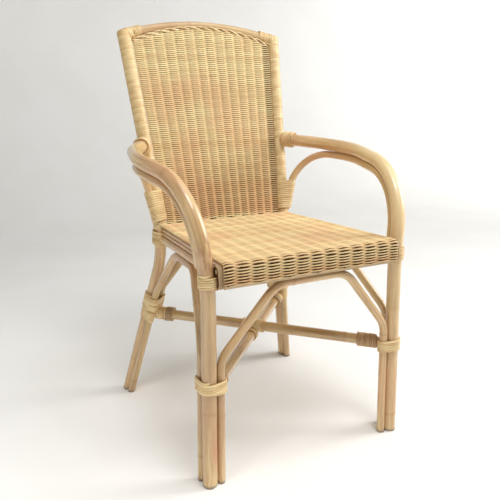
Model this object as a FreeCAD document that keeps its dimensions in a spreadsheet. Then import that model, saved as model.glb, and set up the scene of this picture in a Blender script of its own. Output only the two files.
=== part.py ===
"""Rattan armchair: bent poles, woven seat and back, joints bound with cane strand.

Millimetres. The chair faces -Y, +Z is up, and the origin is on the floor below the middle of
the chair. Depths are measured back from the axis of the front feet, heights up from the floor.
"""
import FreeCAD
import Part
import math
import os

Vector = FreeCAD.Vector
UP = Vector(0, 0, 1)
SIDES = {"left": -1, "right": 1}

doc = FreeCAD.newDocument("rattan_armchair")
sheet = doc.addObject("Spreadsheet::Sheet", "sizes")

SIZES = {
    # Whole chair
    "depth_origin": 238.25,           # from the axis of the front feet back to the origin
    "seat_height": 450.0,
    "fit_gap": 0.3,                   # between pieces that lie against each other
    "cut_overrun": 5.0,
    # Pole diameters
    "pole_dia": 29.0,                 # front leg and arm
    "post_dia": 27.0,                 # rear leg and back post
    "crest_dia": 23.0,
    "arch_dia": 17.0,
    "brace_dia": 17.0,
    "stretcher_dia": 23.0,
    "front_rail_dia": 18.0,
    "front_lower_rail_dia": 22.0,
    "rear_rail_dia": 18.0,
    "rear_lower_rail_dia": 20.0,
    "side_rail_dia": 18.0,
    "strip_dia": 9.0,
    # Front leg and arm, one bent pole
    "front_foot_half": 221.0,
    "leg_waist_in": 5.5,              # inward from the foot
    "leg_waist_drop": 50.0,           # below the seat
    "leg_waist_radius": 800.0,
    "arm_front_out": 18.0,            # outward from the waist of the leg
    "arm_front_depth": 6.0,
    "arm_front_rise": 128.0,          # above the seat
    "arm_front_radius": 150.0,
    "arm_mid_out": 48.5,
    "arm_mid_depth": 215.0,
    "arm_mid_rise": 162.0,
    "arm_mid_radius": 180.0,
    "arm_rear_out": 24.5,
    "arm_rear_depth": 318.0,
    "arm_rear_rise": 170.0,
    "arm_rear_radius": 70.0,
    "arm_joint_rise": 179.0,
    # Rear leg and back post, one bent pole
    "rear_foot_half": 234.0,
    "rear_foot_depth": 485.0,
    "rear_knee_half": 162.5,
    "rear_knee_depth": 401.0,
    "rear_knee_drop": 100.0,          # below the seat
    "rear_knee_radius": 220.0,
    "post_knee_half": 165.5,
    "post_knee_depth": 375.0,
    "post_knee_drop": 12.0,
    "post_knee_radius": 60.0,
    "post_top_half": 198.0,
    "post_top_depth": 486.0,
    "post_top_rise": 435.0,           # above the seat
    # Arched crest rail
    "crest_drop": 12.0,               # axis at its ends, below the top of the posts
    "crest_rise": 28.0,
    "crest_bow": 16.0,                # backward, so that the woven back passes in front of its middle
    # Brace under the arm
    "brace_side_angle": 45.0,         # where it leaves the post, outward from straight ahead
    "brace_low_rise": 6.0,            # above the seat
    "brace_full_rise": 68.0,          # where it stands clear of the post, above the seat
    "brace_scarf": 13.1,              # how far its lower end is let in towards the post
    "brace_bend_drop": 33.0,          # below the arm's joint with the post
    "brace_rear_radius": 102.0,
    "brace_arm_radius": 60.0,
    "brace_meet_share": 0.5,          # where it comes under the arm, from the rear bend to the widest point
    "brace_end_drop": 22.0,           # below the seat
    # Arches between the legs
    "front_arch_knee_height": 255.0,
    "front_arch_flat_half": 80.0,
    "front_arch_radius": 60.0,
    "rear_arch_leg_length": 48.0,
    "rear_arch_knee_height": 282.0,
    "rear_arch_flat_half": 75.0,
    "rear_arch_radius": 45.0,
    "side_arch_foot_out": 6.0,
    "side_arch_knee_out": 5.0,        # beside the axis of the front leg
    "side_arch_foot_back": 26.0,
    "side_arch_knee_rise_left": 91.0, # above the binding on the front leg
    "side_arch_knee_rise_right": 76.0,
    "side_arch_front_flat_left": 160.0,
    "side_arch_front_flat_right": 131.0,
    "side_arch_front_radius": 70.0,
    "side_arch_rear_flat": 280.0,
    "side_arch_rear_knee_drop": 4.0,  # below the rear arch's knee
    "side_arch_rear_radius": 50.0,
    # Crossed stretchers
    "stretcher_upper_rear_drop": 24.0,# below the binding on the rear leg
    "stretcher_lower_rear_drop": 40.0,
    "stretcher_upper_front_rise": 13.0,# above the start of the binding on the front leg
    "stretcher_lower_front_drop": 3.0,# below it
    # Seat
    "seat_front_in": 17.5,            # side of the seat, inward from the axis of the front leg
    "seat_rear_out": 4.5,             # and at its rear, outward from the axis of the back post's knee
    "seat_overhang": 34.0,            # front of the apron, ahead of the front feet
    "seat_corner_radius": 16.0,
    "apron_height": 50.0,
    "seat_weave_thickness": 10.0,
    "seat_stake_dia": 5.0,
    "seat_stake_count": 13,
    "seat_stake_inset": 8.0,
    "seat_stake_tail": 16.0,          # past the woven edge, over the rear rail
    "side_rail_front_in": 12.0,       # inward from the side of the seat
    "side_rail_rear_in": 7.0,
    "side_rail_drop": 39.0,           # below the seat
    # Back
    "back_forward": 6.0,              # middle of the weave, ahead of the posts' axes
    "back_bottom_rise": 1.0,          # above the seat
    "back_weave_thickness": 8.0,
    "back_stake_dia": 4.0,
    "back_stake_count": 14,
    "back_stake_inset": 10.0,
    "back_stake_tail": 1.5,
    "edging_dia": 6.0,
    "edging_drop": 16.5,              # axis at its ends, below the crest's
    "edging_rise": 38.0,
    "wrap_thickness": 1.5,
    "wrap_low_rise": 6.0,             # above the seat
    # Windings of cane strand: strand, pitch, number of turns and where each begins
    "strand_sides": 6,
    "leg_binding_strand": 3.4,
    "leg_binding_pitch": 4.3,
    "leg_binding_turns": 6,
    "leg_binding_drop": 52.5,         # below the seat
    "cluster_strand": 4.2,
    "cluster_pitch": 5.0,
    "cluster_turns": 5,
    "cluster_front_height": 194.0,
    "cluster_rear_drop": 39.0,        # below the rear arch's knee
    "crest_binding_strand": 3.0,
    "crest_binding_pitch": 3.6,
    "crest_binding_turns": 6,
    "crest_binding_inset": 19.0,
    "arm_binding_strand": 4.0,
    "arm_binding_pitch": 4.6,
    "arm_binding_turns": 4,
    "arm_binding_inset": 24.0,
    "brace_wrap_strand": 4.3,
    "brace_wrap_pitch": 4.9,
    "brace_wrap_turns": 12,
    "brace_wrap_rise": 9.0,           # above the seat
    "rail_binding_strand": 4.0,
    "rail_binding_pitch": 4.6,
    "rail_binding_turns": 6,
    "rail_binding_drop": 42.5,        # below the seat
    "rail_binding_slack": 1.0,        # round the bend of the pole
    "stretcher_binding_strand": 4.0,
    "stretcher_binding_pitch": 4.6,
    "stretcher_binding_turns": 7,
    "stretcher_binding_front_inset": 43.0,
    "stretcher_binding_rear_inset": 38.0,
    "crossing_strand": 3.0,
    "crossing_pitch": 3.6,
    "crossing_turns": 3,              # on each side of the crossing
}

for row, (alias, value) in enumerate(SIZES.items(), start=1):
    sheet.set(f"A{row}", alias)
    sheet.set(f"B{row}", str(value))
    sheet.setAlias(f"B{row}", alias)
doc.recompute()

pieces = {}


def size(alias):
    """Value of one cell of the sheet."""
    return float(sheet.get(alias))


def count(alias):
    return int(round(size(alias)))


GAP = size("fit_gap")
LEG_WAIST_HALF = size("front_foot_half") - size("leg_waist_in")
SEAT_FRONT_HALF = LEG_WAIST_HALF - size("seat_front_in")
SEAT_REAR_HALF = size("post_knee_half") + size("seat_rear_out")
CLUSTER_FRONT = size("cluster_front_height")
CLUSTER_REAR = size("rear_arch_knee_height") - size("cluster_rear_drop")
STRETCHER_REAR = {level: CLUSTER_REAR - size(f"stretcher_{level}_rear_drop") for level in ("upper", "lower")}
STRETCHER_FRONT = {"upper": CLUSTER_FRONT + size("stretcher_upper_front_rise"),
                   "lower": CLUSTER_FRONT - size("stretcher_lower_front_drop")}


def at(half, depth, height):
    """Point given by its offset from the middle plane, depth behind the front feet and height."""
    return Vector(half, depth - size("depth_origin"), height)


def above_seat(alias):
    return size("seat_height") + size(alias)


def below_seat(alias):
    return size("seat_height") - size(alias)


def between(start, end, share):
    return start + (end - start) * share


def at_height(start, end, height):
    """Point at a height on the line through two points."""
    return between(start, end, (height - start.z) / (end.z - start.z))


def unit(vector):
    return Vector(vector).normalize()


def facing(direction, origin=Vector(0, 0, 0)):
    """Placement that turns +Z to a direction and moves the origin."""
    return FreeCAD.Placement(origin, FreeCAD.Rotation(UP, direction))


def keep(label, feature):
    feature.Label = label
    pieces[label] = feature
    return feature


def rounded_wire(corners, radii):
    """Straight runs between the corners, joined by tangent arcs of the given radii."""
    edges = []
    start = corners[0]
    for index, radius in enumerate(radii, start=1):
        corner = corners[index]
        back = unit(corners[index - 1] - corner)
        ahead = unit(corners[index + 1] - corner)
        half_turn = (math.pi - back.getAngle(ahead)) / 2
        reach = radius * math.tan(half_turn)
        inward = unit(back + ahead)
        sag = radius / math.cos(half_turn) - radius
        first, last = corner + back * reach, corner + ahead * reach
        edges.append(Part.LineSegment(start, first).toShape())
        edges.append(Part.Arc(first, corner + inward * sag, last).toShape())
        start = last
    edges.append(Part.LineSegment(start, corners[-1]).toShape())
    return Part.Wire(edges)


def on_wire(wire, height):
    """Point of a wire at a height."""
    reach = size("rear_foot_depth")
    level = Part.makePlane(2 * reach, 2 * reach, Vector(-reach, -reach, height), UP)
    return wire.distToShape(level)[1][0][0]


def path_feature(name, wire):
    feature = doc.addObject("Part::Feature", name)
    feature.Shape = wire
    return feature


def swept_pole(name, wire, radius_expression):
    """Round pole along a wire; its section's radius is bound to the sheet."""
    path = path_feature(name + "_path", wire)
    first = wire.Edges[0]
    section = doc.addObject("Part::Circle", name + "_section")
    section.setExpression("Radius", radius_expression)
    section.Placement = facing(first.tangentAt(first.FirstParameter), first.valueAt(first.FirstParameter))
    sweep = doc.addObject("Part::Sweep", name)
    sweep.Sections = [section]
    sweep.Spine = (path, [f"Edge{index + 1}" for index in range(len(wire.Edges))])
    sweep.Solid = True
    sweep.Frenet = False
    return sweep


def straight_pole(name, start, end, radius_expression):
    pole = doc.addObject("Part::Cylinder", name)
    pole.setExpression("Radius", radius_expression)
    pole.Height = (end - start).Length
    pole.Placement = facing(end - start, start)
    return pole


def cut(name, base, tools):
    """Base less each of the tools in turn."""
    for index, tool in enumerate(tools):
        trimmed = doc.addObject("Part::Cut", f"{name}_trim{index}")
        trimmed.Base = base
        trimmed.Tool = tool
        base = trimmed
    return base


def radius_of(alias):
    return f"sizes.{alias} / 2"


def cope_of(alias, *extras):
    """Radius of the hollow that seats a piece against a pole: the pole, what covers it, the gap."""
    return " + ".join([f"sizes.{alias} / 2", "sizes.fit_gap"] + [f"sizes.{extra}" for extra in extras])


# Main poles: corner points of each axis

def leg_corners(side):
    return [
        at(side * size("front_foot_half"), 0, 0),
        at(side * LEG_WAIST_HALF, 0, below_seat("leg_waist_drop")),
        *[at(side * (LEG_WAIST_HALF + size(f"arm_{bend}_out")), size(f"arm_{bend}_depth"),
             above_seat(f"arm_{bend}_rise")) for bend in ("front", "mid", "rear")],
        at_height(*post_corners(side)[2:], above_seat("arm_joint_rise")),
    ]


LEG_RADII = [size(name) for name in
             ("leg_waist_radius", "arm_front_radius", "arm_mid_radius", "arm_rear_radius")]


def post_corners(side):
    return [
        at(side * size("rear_foot_half"), size("rear_foot_depth"), 0),
        at(side * size("rear_knee_half"), size("rear_knee_depth"), below_seat("rear_knee_drop")),
        at(side * size("post_knee_half"), size("post_knee_depth"), below_seat("post_knee_drop")),
        at(side * size("post_top_half"), size("post_top_depth"), above_seat("post_top_rise")),
    ]


POST_RADII = [size("rear_knee_radius"), size("post_knee_radius")]


def leg_axis(side, height):
    """Front leg's axis below the seat."""
    corners = leg_corners(side)
    return at_height(corners[0], corners[1], height)


def rear_axis(side, height):
    """Rear leg's axis below its knee."""
    corners = post_corners(side)
    return at_height(corners[0], corners[1], height)


def post_axis(side, height):
    """Back post's axis above the seat."""
    corners = post_corners(side)
    return at_height(corners[2], corners[3], height)


def ground_trim(name, reach_alias):
    """Block below the floor that cuts splayed feet level."""
    block = doc.addObject("Part::Box", name)
    block.setExpression("Length", f"4 * sizes.{reach_alias}")
    block.setExpression("Width", "2 * sizes.rear_foot_depth")
    block.setExpression("Height", "sizes.pole_dia")
    block.Placement.Base = Vector(-2 * size(reach_alias), -size("rear_foot_depth"), -size("pole_dia"))
    return block


def to_floor(corners):
    """The same corners, with the first run carried on below the floor for a level cut."""
    below = corners[0] - unit(corners[1] - corners[0]) * size("cut_overrun")
    return [below] + corners[1:]


floor_block = ground_trim("floor_block", "rear_foot_half")

for name, side in SIDES.items():
    post_wire = rounded_wire(to_floor(post_corners(side)), POST_RADII)
    post = swept_pole(f"post_{name}", post_wire, radius_of("post_dia"))
    keep(f"back_post_{name}", cut(f"post_{name}", post, [floor_block]))

    leg_wire = rounded_wire(to_floor(leg_corners(side)), LEG_RADII)
    leg = swept_pole(f"leg_{name}", leg_wire, radius_of("pole_dia"))
    seat_of_post = straight_pole(f"post_cope_{name}", post_axis(side, above_seat("wrap_low_rise")),
                                 post_corners(side)[3], cope_of("post_dia", "wrap_thickness"))
    keep(f"front_leg_arm_{name}", cut(f"leg_{name}", leg, [floor_block, seat_of_post]))

    wrap_span = (post_axis(side, above_seat("wrap_low_rise")), post_corners(side)[3])
    wrap_outer = straight_pole(f"wrap_outer_{name}", *wrap_span,
                               "sizes.post_dia / 2 + sizes.wrap_thickness")
    wrap_bore = straight_pole(f"wrap_bore_{name}", *wrap_span,
                              "sizes.post_dia / 2 + sizes.fit_gap / 2")
    keep(f"post_wrap_{name}", cut(f"post_wrap_{name}", wrap_outer, [wrap_bore]))

# Crest rail: one arc from post to post

crest_height = above_seat("post_top_rise") - size("crest_drop")
crest_ends = {name: post_axis(side, crest_height) for name, side in SIDES.items()}
crest_middle = between(crest_ends["left"], crest_ends["right"], 0.5)
crest_middle += Vector(0, size("crest_bow"), size("crest_rise"))
crest_arc = Part.Arc(crest_ends["left"], crest_middle, crest_ends["right"]).toShape()
crest = swept_pole("crest", Part.Wire([crest_arc]), radius_of("crest_dia"))
keep("crest_rail", cut("crest", crest, [doc.getObject(f"post_cope_{name}") for name in SIDES]))

# Seat frame: two rails in front, two behind, one rail and two strips on each side

seat_underside = size("seat_height") - size("seat_weave_thickness")
apron_back = -size("seat_overhang") + size("seat_weave_thickness")
front_rail_depth = apron_back + GAP + size("front_rail_dia") / 2
front_rail_height = seat_underside - GAP - size("front_rail_dia") / 2
lower_front_height = (front_rail_height - size("front_rail_dia") / 2 - GAP
                      - size("front_lower_rail_dia") / 2)
lower_front_depth = apron_back + GAP + size("front_lower_rail_dia") / 2
stake_level = size("seat_height") - size("seat_weave_thickness") / 2
rear_rail_height = stake_level - size("seat_stake_dia") / 2 - GAP - size("rear_rail_dia") / 2
rear_lower_height = (rear_rail_height - size("rear_rail_dia") / 2 - GAP
                     - size("rear_lower_rail_dia") / 2)


def knee_axis(side, height):
    """Rear pole's axis between its two knees, at the seat frame."""
    corners = post_corners(side)
    return at_height(corners[1], corners[2], height)


def cross_rail(label, reach, depth, height, dia, copes):
    """Straight rail from side to side, hollowed at its ends to seat on the poles."""
    rail = straight_pole(label + "_bar", at(-reach, depth, height), at(reach, depth, height), radius_of(dia))
    return keep(label, cut(label, rail, copes))


leg_copes = []
binding_copes = []
post_copes = []
knee_copes = []
binding_axes = {}
knee_axes = {}


def binding_axis(wire, kind):
    """Start and direction of a winding on a bent pole, along the chord of the part it covers."""
    start = below_seat(f"{kind}_drop")
    low, high = [on_wire(wire, start + rise) for rise in (0, size(f"{kind}_pitch") * size(f"{kind}_turns"))]
    return low, high


def binding_cope(name, low, high, kind, radius):
    """Hollow that keeps the rails clear of a winding on a pole."""
    margin = unit(high - low) * size(f"{kind}_strand")
    return straight_pole(name, low - margin, high + margin, radius)


for name, side in SIDES.items():
    leg_wire = rounded_wire(to_floor(leg_corners(side)), LEG_RADII)
    leg_copes.append(swept_pole(f"leg_cope_{name}", leg_wire, cope_of("pole_dia")))
    low, high = binding_axis(leg_wire, "leg_binding")
    binding_axes[name] = (low, unit(high - low))
    binding_copes.append(binding_cope(
        f"binding_cope_{name}", low, high, "leg_binding",
        "sizes.pole_dia / 2 + sizes.leg_binding_strand + 3 * sizes.fit_gap"))
    post_wire = rounded_wire(to_floor(post_corners(side)), POST_RADII)
    post_copes.append(swept_pole(f"frame_cope_{name}", post_wire, cope_of("post_dia")))
    low, high = binding_axis(post_wire, "rail_binding")
    knee_axes[name] = (low, unit(high - low))
    knee_copes.append(binding_cope(
        f"knee_cope_{name}", low, high, "rail_binding",
        "sizes.post_dia / 2 + sizes.rail_binding_slack + sizes.rail_binding_strand + 3 * sizes.fit_gap"))

front_reach = LEG_WAIST_HALF - size("pole_dia") / 3
cross_rail("seat_front_rail", front_reach, front_rail_depth, front_rail_height, "front_rail_dia",
           leg_copes + binding_copes)
cross_rail("seat_front_lower_rail", front_reach, lower_front_depth, lower_front_height,
           "front_lower_rail_dia", leg_copes + binding_copes)
rear_rail_depth = knee_axis(1, rear_rail_height).y + size("depth_origin")
rear_lower_depth = knee_axis(1, rear_lower_height).y + size("depth_origin")
cross_rail("seat_rear_rail", knee_axis(1, rear_rail_height).x, rear_rail_depth, rear_rail_height,
           "rear_rail_dia", post_copes + knee_copes)
cross_rail("seat_rear_lower_rail", knee_axis(1, rear_lower_height).x, rear_lower_depth, rear_lower_height,
           "rear_lower_rail_dia", post_copes + knee_copes)

cross_copes = [
    straight_pole(f"{tool}_cope", at(-LEG_WAIST_HALF, depth, height),
                  at(LEG_WAIST_HALF, depth, height), cope_of(f"{tool}_dia"))
    for tool, depth, height in (
        ("front_rail", front_rail_depth, front_rail_height),
        ("front_lower_rail", lower_front_depth, lower_front_height),
        ("rear_rail", rear_rail_depth, rear_rail_height),
        ("rear_lower_rail", rear_lower_depth, rear_lower_height))]


def side_line(side, height):
    """Ends of the line that the side rail and its strips follow, at a height."""
    return (at(side * (SEAT_FRONT_HALF - size("side_rail_front_in")), front_rail_depth, height),
            at(side * (SEAT_REAR_HALF - size("side_rail_rear_in")), rear_lower_depth, height))


strip_heights = [below_seat("side_rail_drop") + size("side_rail_dia") / 2 + GAP + size("strip_dia") / 2]
strip_heights.append(strip_heights[0] + size("strip_dia") + GAP)
for index, (name, side) in enumerate(SIDES.items()):
    rail_line = side_line(side, below_seat("side_rail_drop"))
    rail = straight_pole(f"side_bar_{name}", *rail_line, radius_of("side_rail_dia"))
    seats = cross_copes + [post_copes[index], knee_copes[index]]
    keep(f"seat_side_rail_{name}", cut(f"seat_side_rail_{name}", rail, seats))
    for level, height in zip(("lower", "upper"), strip_heights):
        strip = straight_pole(f"strip_{level}_{name}", *side_line(side, height), radius_of("strip_dia"))
        keep(f"seat_side_strip_{level}_{name}", cut(f"strip_{level}_{name}", strip, seats))

# Braces: scarfed to the post, up and along under the arm and down behind the front leg

arm_to_brace = size("pole_dia") / 2 + GAP + size("brace_dia") / 2
post_to_brace = size("post_dia") / 2 + size("wrap_thickness") + 2 * GAP + size("brace_dia") / 2


def brace_spot(side, height):
    """Point of the brace's lower run, which leans away from the post, square to a height on the post."""
    turn = math.radians(size("brace_side_angle"))
    along = unit(post_corners(side)[3] - post_corners(side)[2])
    out = Vector(side * math.sin(turn), -math.cos(turn), 0)
    lean = size("brace_scarf") / (size("brace_full_rise") - size("brace_low_rise"))
    offset = post_to_brace + (height - above_seat("brace_full_rise")) * lean
    return post_axis(side, height) + unit(out - along * out.dot(along)) * offset


def brace_corners(side):
    leg = leg_corners(side)
    low = brace_spot(side, above_seat("brace_low_rise"))
    bend = brace_spot(side, above_seat("arm_joint_rise") - size("brace_bend_drop"))
    meet = between(leg[4], leg[3], size("brace_meet_share"))
    below = []
    for corner, run in ((meet, leg[3] - leg[4]), (leg[3], leg[2] - leg[4])):
        along = unit(run)
        down = unit(-UP + along * along.dot(UP))
        below.append(corner + down * arm_to_brace)
    arm_run, leg_run = unit(leg[3] - leg[2]), unit(leg[1] - leg[2])
    inward = unit(arm_run + leg_run)
    inner = leg[2] + inward * (arm_to_brace / math.sin(arm_run.getAngle(leg_run) / 2))
    share = (below_seat("brace_end_drop") - inner.z) / leg_run.z
    return [low, bend] + below + [inner, inner + leg_run * share]


BRACE_RADII = [size("brace_rear_radius"), size("brace_arm_radius"), size("arm_mid_radius"),
               size("arm_front_radius") - arm_to_brace]

brace_wires = {}
for name, side in SIDES.items():
    brace_wires[name] = rounded_wire(brace_corners(side), BRACE_RADII)
    brace = swept_pole(f"brace_{name}", brace_wires[name], radius_of("brace_dia"))
    post = post_corners(side)
    seat = straight_pole(f"scarf_{name}", post[2], post[3], cope_of("post_dia", "wrap_thickness"))
    keep(f"arm_brace_{name}", cut(f"brace_{name}", brace, [seat]))

# Arches under the seat

leg_to_arch = size("pole_dia") / 2 + GAP + size("arch_dia") / 2
rear_to_arch = size("post_dia") / 2 + GAP + size("arch_dia") / 2
front_arch_top = lower_front_height - size("front_lower_rail_dia") / 2 - GAP - size("arch_dia") / 2
rear_arch_top = rear_lower_height - size("rear_lower_rail_dia") / 2 - GAP - size("arch_dia") / 2
side_arch_top = below_seat("side_rail_drop") - size("side_rail_dia") / 2 - GAP - size("arch_dia") / 2


def front_arch_leg(side, height):
    return leg_axis(side, height) - Vector(side * leg_to_arch, 0, 0)


def rear_arch_leg(side, height):
    return rear_axis(side, height) - Vector(side * rear_to_arch, 0, 0) * square_share(side)


def square_share(side):
    """Stretch of a level offset from the splayed rear leg that keeps the true distance."""
    corners = post_corners(side)
    along = unit(corners[1] - corners[0])
    return 1 / math.sqrt(1 - along.x ** 2)


def side_arch_rear(side, height):
    corners = post_corners(side)
    along = unit(corners[1] - corners[0])
    return rear_axis(side, height) - Vector(0, rear_to_arch, 0) / math.sqrt(1 - along.y ** 2)


def side_arch_corners(name, side):
    knee = CLUSTER_FRONT + size(f"side_arch_knee_rise_{name}")
    rear_knee = size("rear_arch_knee_height") - size("side_arch_rear_knee_drop")
    foot = leg_axis(side, 0) + Vector(side * size("side_arch_foot_out"), size("side_arch_foot_back"), 0)
    front = side_line(side, side_arch_top)
    flats = [size(f"side_arch_front_flat_{name}"), size("side_arch_rear_flat")]
    length = front[1].y - front[0].y
    tops = [between(*front, (depth - front_rail_depth) / length) for depth in flats]
    out = size("side_arch_knee_out")
    beside = Vector(side * out, math.sqrt(leg_to_arch ** 2 - out ** 2), 0)
    return [foot, leg_axis(side, knee) + beside, *tops,
            side_arch_rear(side, rear_knee), side_arch_rear(side, 0)]


def to_floor_both(corners):
    return to_floor(to_floor(corners)[::-1])[::-1]


def arch(label, corners, radii):
    wire = rounded_wire(to_floor_both(corners), radii)
    return keep(label, cut(label, swept_pole(label + "_pole", wire, radius_of("arch_dia")), [floor_block]))


front_half = [front_arch_leg(-1, 0), front_arch_leg(-1, size("front_arch_knee_height")),
              at(-size("front_arch_flat_half"), lower_front_depth, front_arch_top)]
mirror = [Vector(-corner.x, corner.y, corner.z) for corner in front_half]
arch("front_arch", front_half + mirror[::-1], [size("front_arch_radius")] * 4)

rear_half = [rear_arch_leg(-1, size("rear_arch_knee_height") - size("rear_arch_leg_length")),
             rear_arch_leg(-1, size("rear_arch_knee_height")),
             at(-size("rear_arch_flat_half"), rear_lower_depth, rear_arch_top)]
mirror = [Vector(-corner.x, corner.y, corner.z) for corner in rear_half]
rear_wire = rounded_wire(rear_half + mirror[::-1], [size("rear_arch_radius")] * 4)
keep("rear_arch", swept_pole("rear_arch_pole", rear_wire, radius_of("arch_dia")))

for name, side in SIDES.items():
    front_radius, rear_radius = size("side_arch_front_radius"), size("side_arch_rear_radius")
    arch(f"side_arch_{name}", side_arch_corners(name, side),
         [front_radius, front_radius, rear_radius, rear_radius])

# Windings: a strand laid round one or more poles, climbing steadily along an axis


class Winding:
    """Strand round the outline that holds a set of circles, in a plane square to an axis.

    A drift moves every circle but the first sideways for each length climbed, so the outline tapers.
    """

    def __init__(self, origin, axis, centres, radii, drift=Vector(0, 0, 0)):
        self.place = facing(axis, origin)
        inverse = self.place.inverse()
        flat = [inverse.multVec(centre) for centre in centres]
        drift = inverse.Rotation.multVec(drift)
        drifts = [Vector(0, 0, 0)] + [Vector(drift.x, drift.y, 0)] * (len(centres) - 1)
        self.circles = [(Vector(point.x, point.y, 0), radius, moved)
                        for point, radius, moved in zip(flat, radii, drifts)]
        middle = Vector(0, 0, 0)
        for point, _, _ in self.circles:
            middle += point / len(self.circles)
        self.circles.sort(key=lambda circle: math.atan2(circle[0].y - middle.y, circle[0].x - middle.x))

    def stations(self, height=0.0):
        """Points round one loop with their directions, and whether an arc or a run follows."""
        circles = [(centre + moved * height, radius) for centre, radius, moved in self.circles]
        if len(circles) == 1:
            centre, radius = circles[0]
            ways = [Vector(1, 0, 0), Vector(-1, 0, 0)]
            return [(centre + way * radius, UP.cross(way), centre, radius, math.pi) for way in ways]
        loop = []
        normals = []
        for index, (start, radius) in enumerate(circles):
            end, next_radius = circles[(index + 1) % len(circles)]
            along = unit(end - start)
            lean = (radius - next_radius) / (end - start).Length
            normals.append(along * lean + along.cross(UP) * math.sqrt(1 - lean ** 2))
        for index, (centre, radius) in enumerate(circles):
            entry, leave = normals[index - 1], normals[index]
            turn = math.atan2(entry.cross(leave).z, entry.dot(leave)) % (2 * math.pi)
            loop.append((centre + entry * radius, UP.cross(entry), centre, radius, turn))
            loop.append((centre + leave * radius, UP.cross(leave), centre, radius, 0))
        return loop

    def strand_path(self, climbs, slopes):
        """Edges of the strand: one climb and end slope for each station of each turn."""
        round_loop = len(self.stations())
        points, ways, turns = [], [], []
        for step, slope in enumerate(slopes):
            height = sum(climbs[:step])
            point, along, _, _, turn = self.stations(height)[step % round_loop]
            points.append(point + UP * height)
            ways.append(unit(along + UP * slope))
            turns.append(turn)
        runs = [step for step in range(len(climbs)) if not turns[step]]
        for step in runs:
            ways[step] = ways[step + 1] = unit(points[step + 1] - points[step])
        edges = []
        for step in range(len(climbs)):
            if step in runs:
                edges.append(Part.LineSegment(points[step], points[step + 1]).toShape())
            else:
                edges += biarc(points[step], ways[step], points[step + 1], ways[step + 1])
        wire = Part.Wire(edges)
        wire.Placement = self.place
        return wire

    def steady(self, pitch, turns):
        """Climbs and slopes of turns that rise evenly along the loop."""
        loop = self.stations()
        lengths = []
        for index, (point, _, _, radius, turn) in enumerate(loop):
            after = loop[(index + 1) % len(loop)][0]
            lengths.append(radius * turn if turn else (after - point).Length)
        slope = pitch / sum(lengths)
        climbs = [length * slope for length in lengths] * turns
        return climbs, [slope] * (len(climbs) + 1)


def tangent_arc(start, along, end):
    """Arc from a point, leaving in a direction, to another point."""
    chord = end - start
    side = chord - along * chord.dot(along)
    radius = chord.dot(chord) / (2 * side.Length)
    centre = start + unit(side) * radius
    middle = centre + unit((start - centre) + (end - centre)) * radius
    return Part.Arc(start, middle, end).toShape()


def biarc(start, along, end, end_along):
    """Two arcs that join two points, tangent to each other and to both directions."""
    chord, sum_along = end - start, along + end_along
    square = sum_along.dot(sum_along) - 4
    linear = -2 * chord.dot(sum_along)
    constant = chord.dot(chord)
    root = math.sqrt(linear ** 2 - 4 * square * constant)
    reaches = [(-linear + sign * root) / (2 * square) for sign in (-1, 1)]
    reach = min(value for value in reaches if value > 0)
    first, last = start + along * reach, end - end_along * reach
    middle = between(first, last, 0.5)
    return [tangent_arc(start, along, middle), tangent_arc(middle, unit(last - first), end)]


def least_gap(wire, strand, loop_length):
    """Least clear distance from the strand to its own neighbouring turns."""
    points = wire.discretize(Distance=strand)
    step = wire.Length / (len(points) - 1)
    apart = int(loop_length / step / 2)
    least = min((points[i] - points[j]).Length
                for i in range(len(points)) for j in range(i + apart, len(points)))
    return least - strand


def wind(label, winding, climbs, slopes, strand):
    """Solid strand of polygon section along a winding's path, bound under one label."""
    wire = winding.strand_path(climbs, slopes)
    first = wire.Edges[0]
    start, along = first.valueAt(first.FirstParameter), first.tangentAt(first.FirstParameter)
    ring = facing(along, start)
    sides = count("strand_sides")
    corners = [ring.multVec(Vector(math.cos(2 * math.pi * k / sides), math.sin(2 * math.pi * k / sides), 0)
                            * (strand / 2)) for k in range(sides)]
    shell = Part.BRepOffsetAPI.MakePipeShell(wire)
    shell.add(Part.makePolygon(corners + corners[:1]))
    shell.build()
    shell.makeSolid()
    feature = doc.addObject("Part::Feature", label)
    feature.Shape = shell.shape()
    loop = winding.stations()
    turns = len(climbs) / len(loop)
    print(f"{label}: {turns:g} turns, least gap {least_gap(wire, strand, wire.Length / turns):.2f} mm")
    return keep(label, feature)


def wind_steady(label, winding, kind):
    climbs, slopes = winding.steady(size(f"{kind}_pitch"), count(f"{kind}_turns"))
    return wind(label, winding, climbs, slopes, size(f"{kind}_strand"))


def over(dia, strand, *extras):
    """Radius at which a strand's axis runs round a pole, clear of it by two fit gaps."""
    return size(dia) / 2 + sum(size(extra) for extra in extras) + 2 * GAP + size(strand) / 2


def outline_block(name, winding, swell, below, above):
    """Prism round a winding's outline, swelled outward, from below its start to above it."""
    winding.circles = [(centre, radius + swell, moved) for centre, radius, moved in winding.circles]
    level = [0] * len(winding.stations())
    outline = winding.strand_path(level, level + [0])
    axis = winding.place.Rotation.multVec(UP)
    outline.translate(axis * -below)
    prism = doc.addObject("Part::Feature", name)
    prism.Shape = Part.Face(outline).extrude(axis * (below + above))
    return prism


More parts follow.
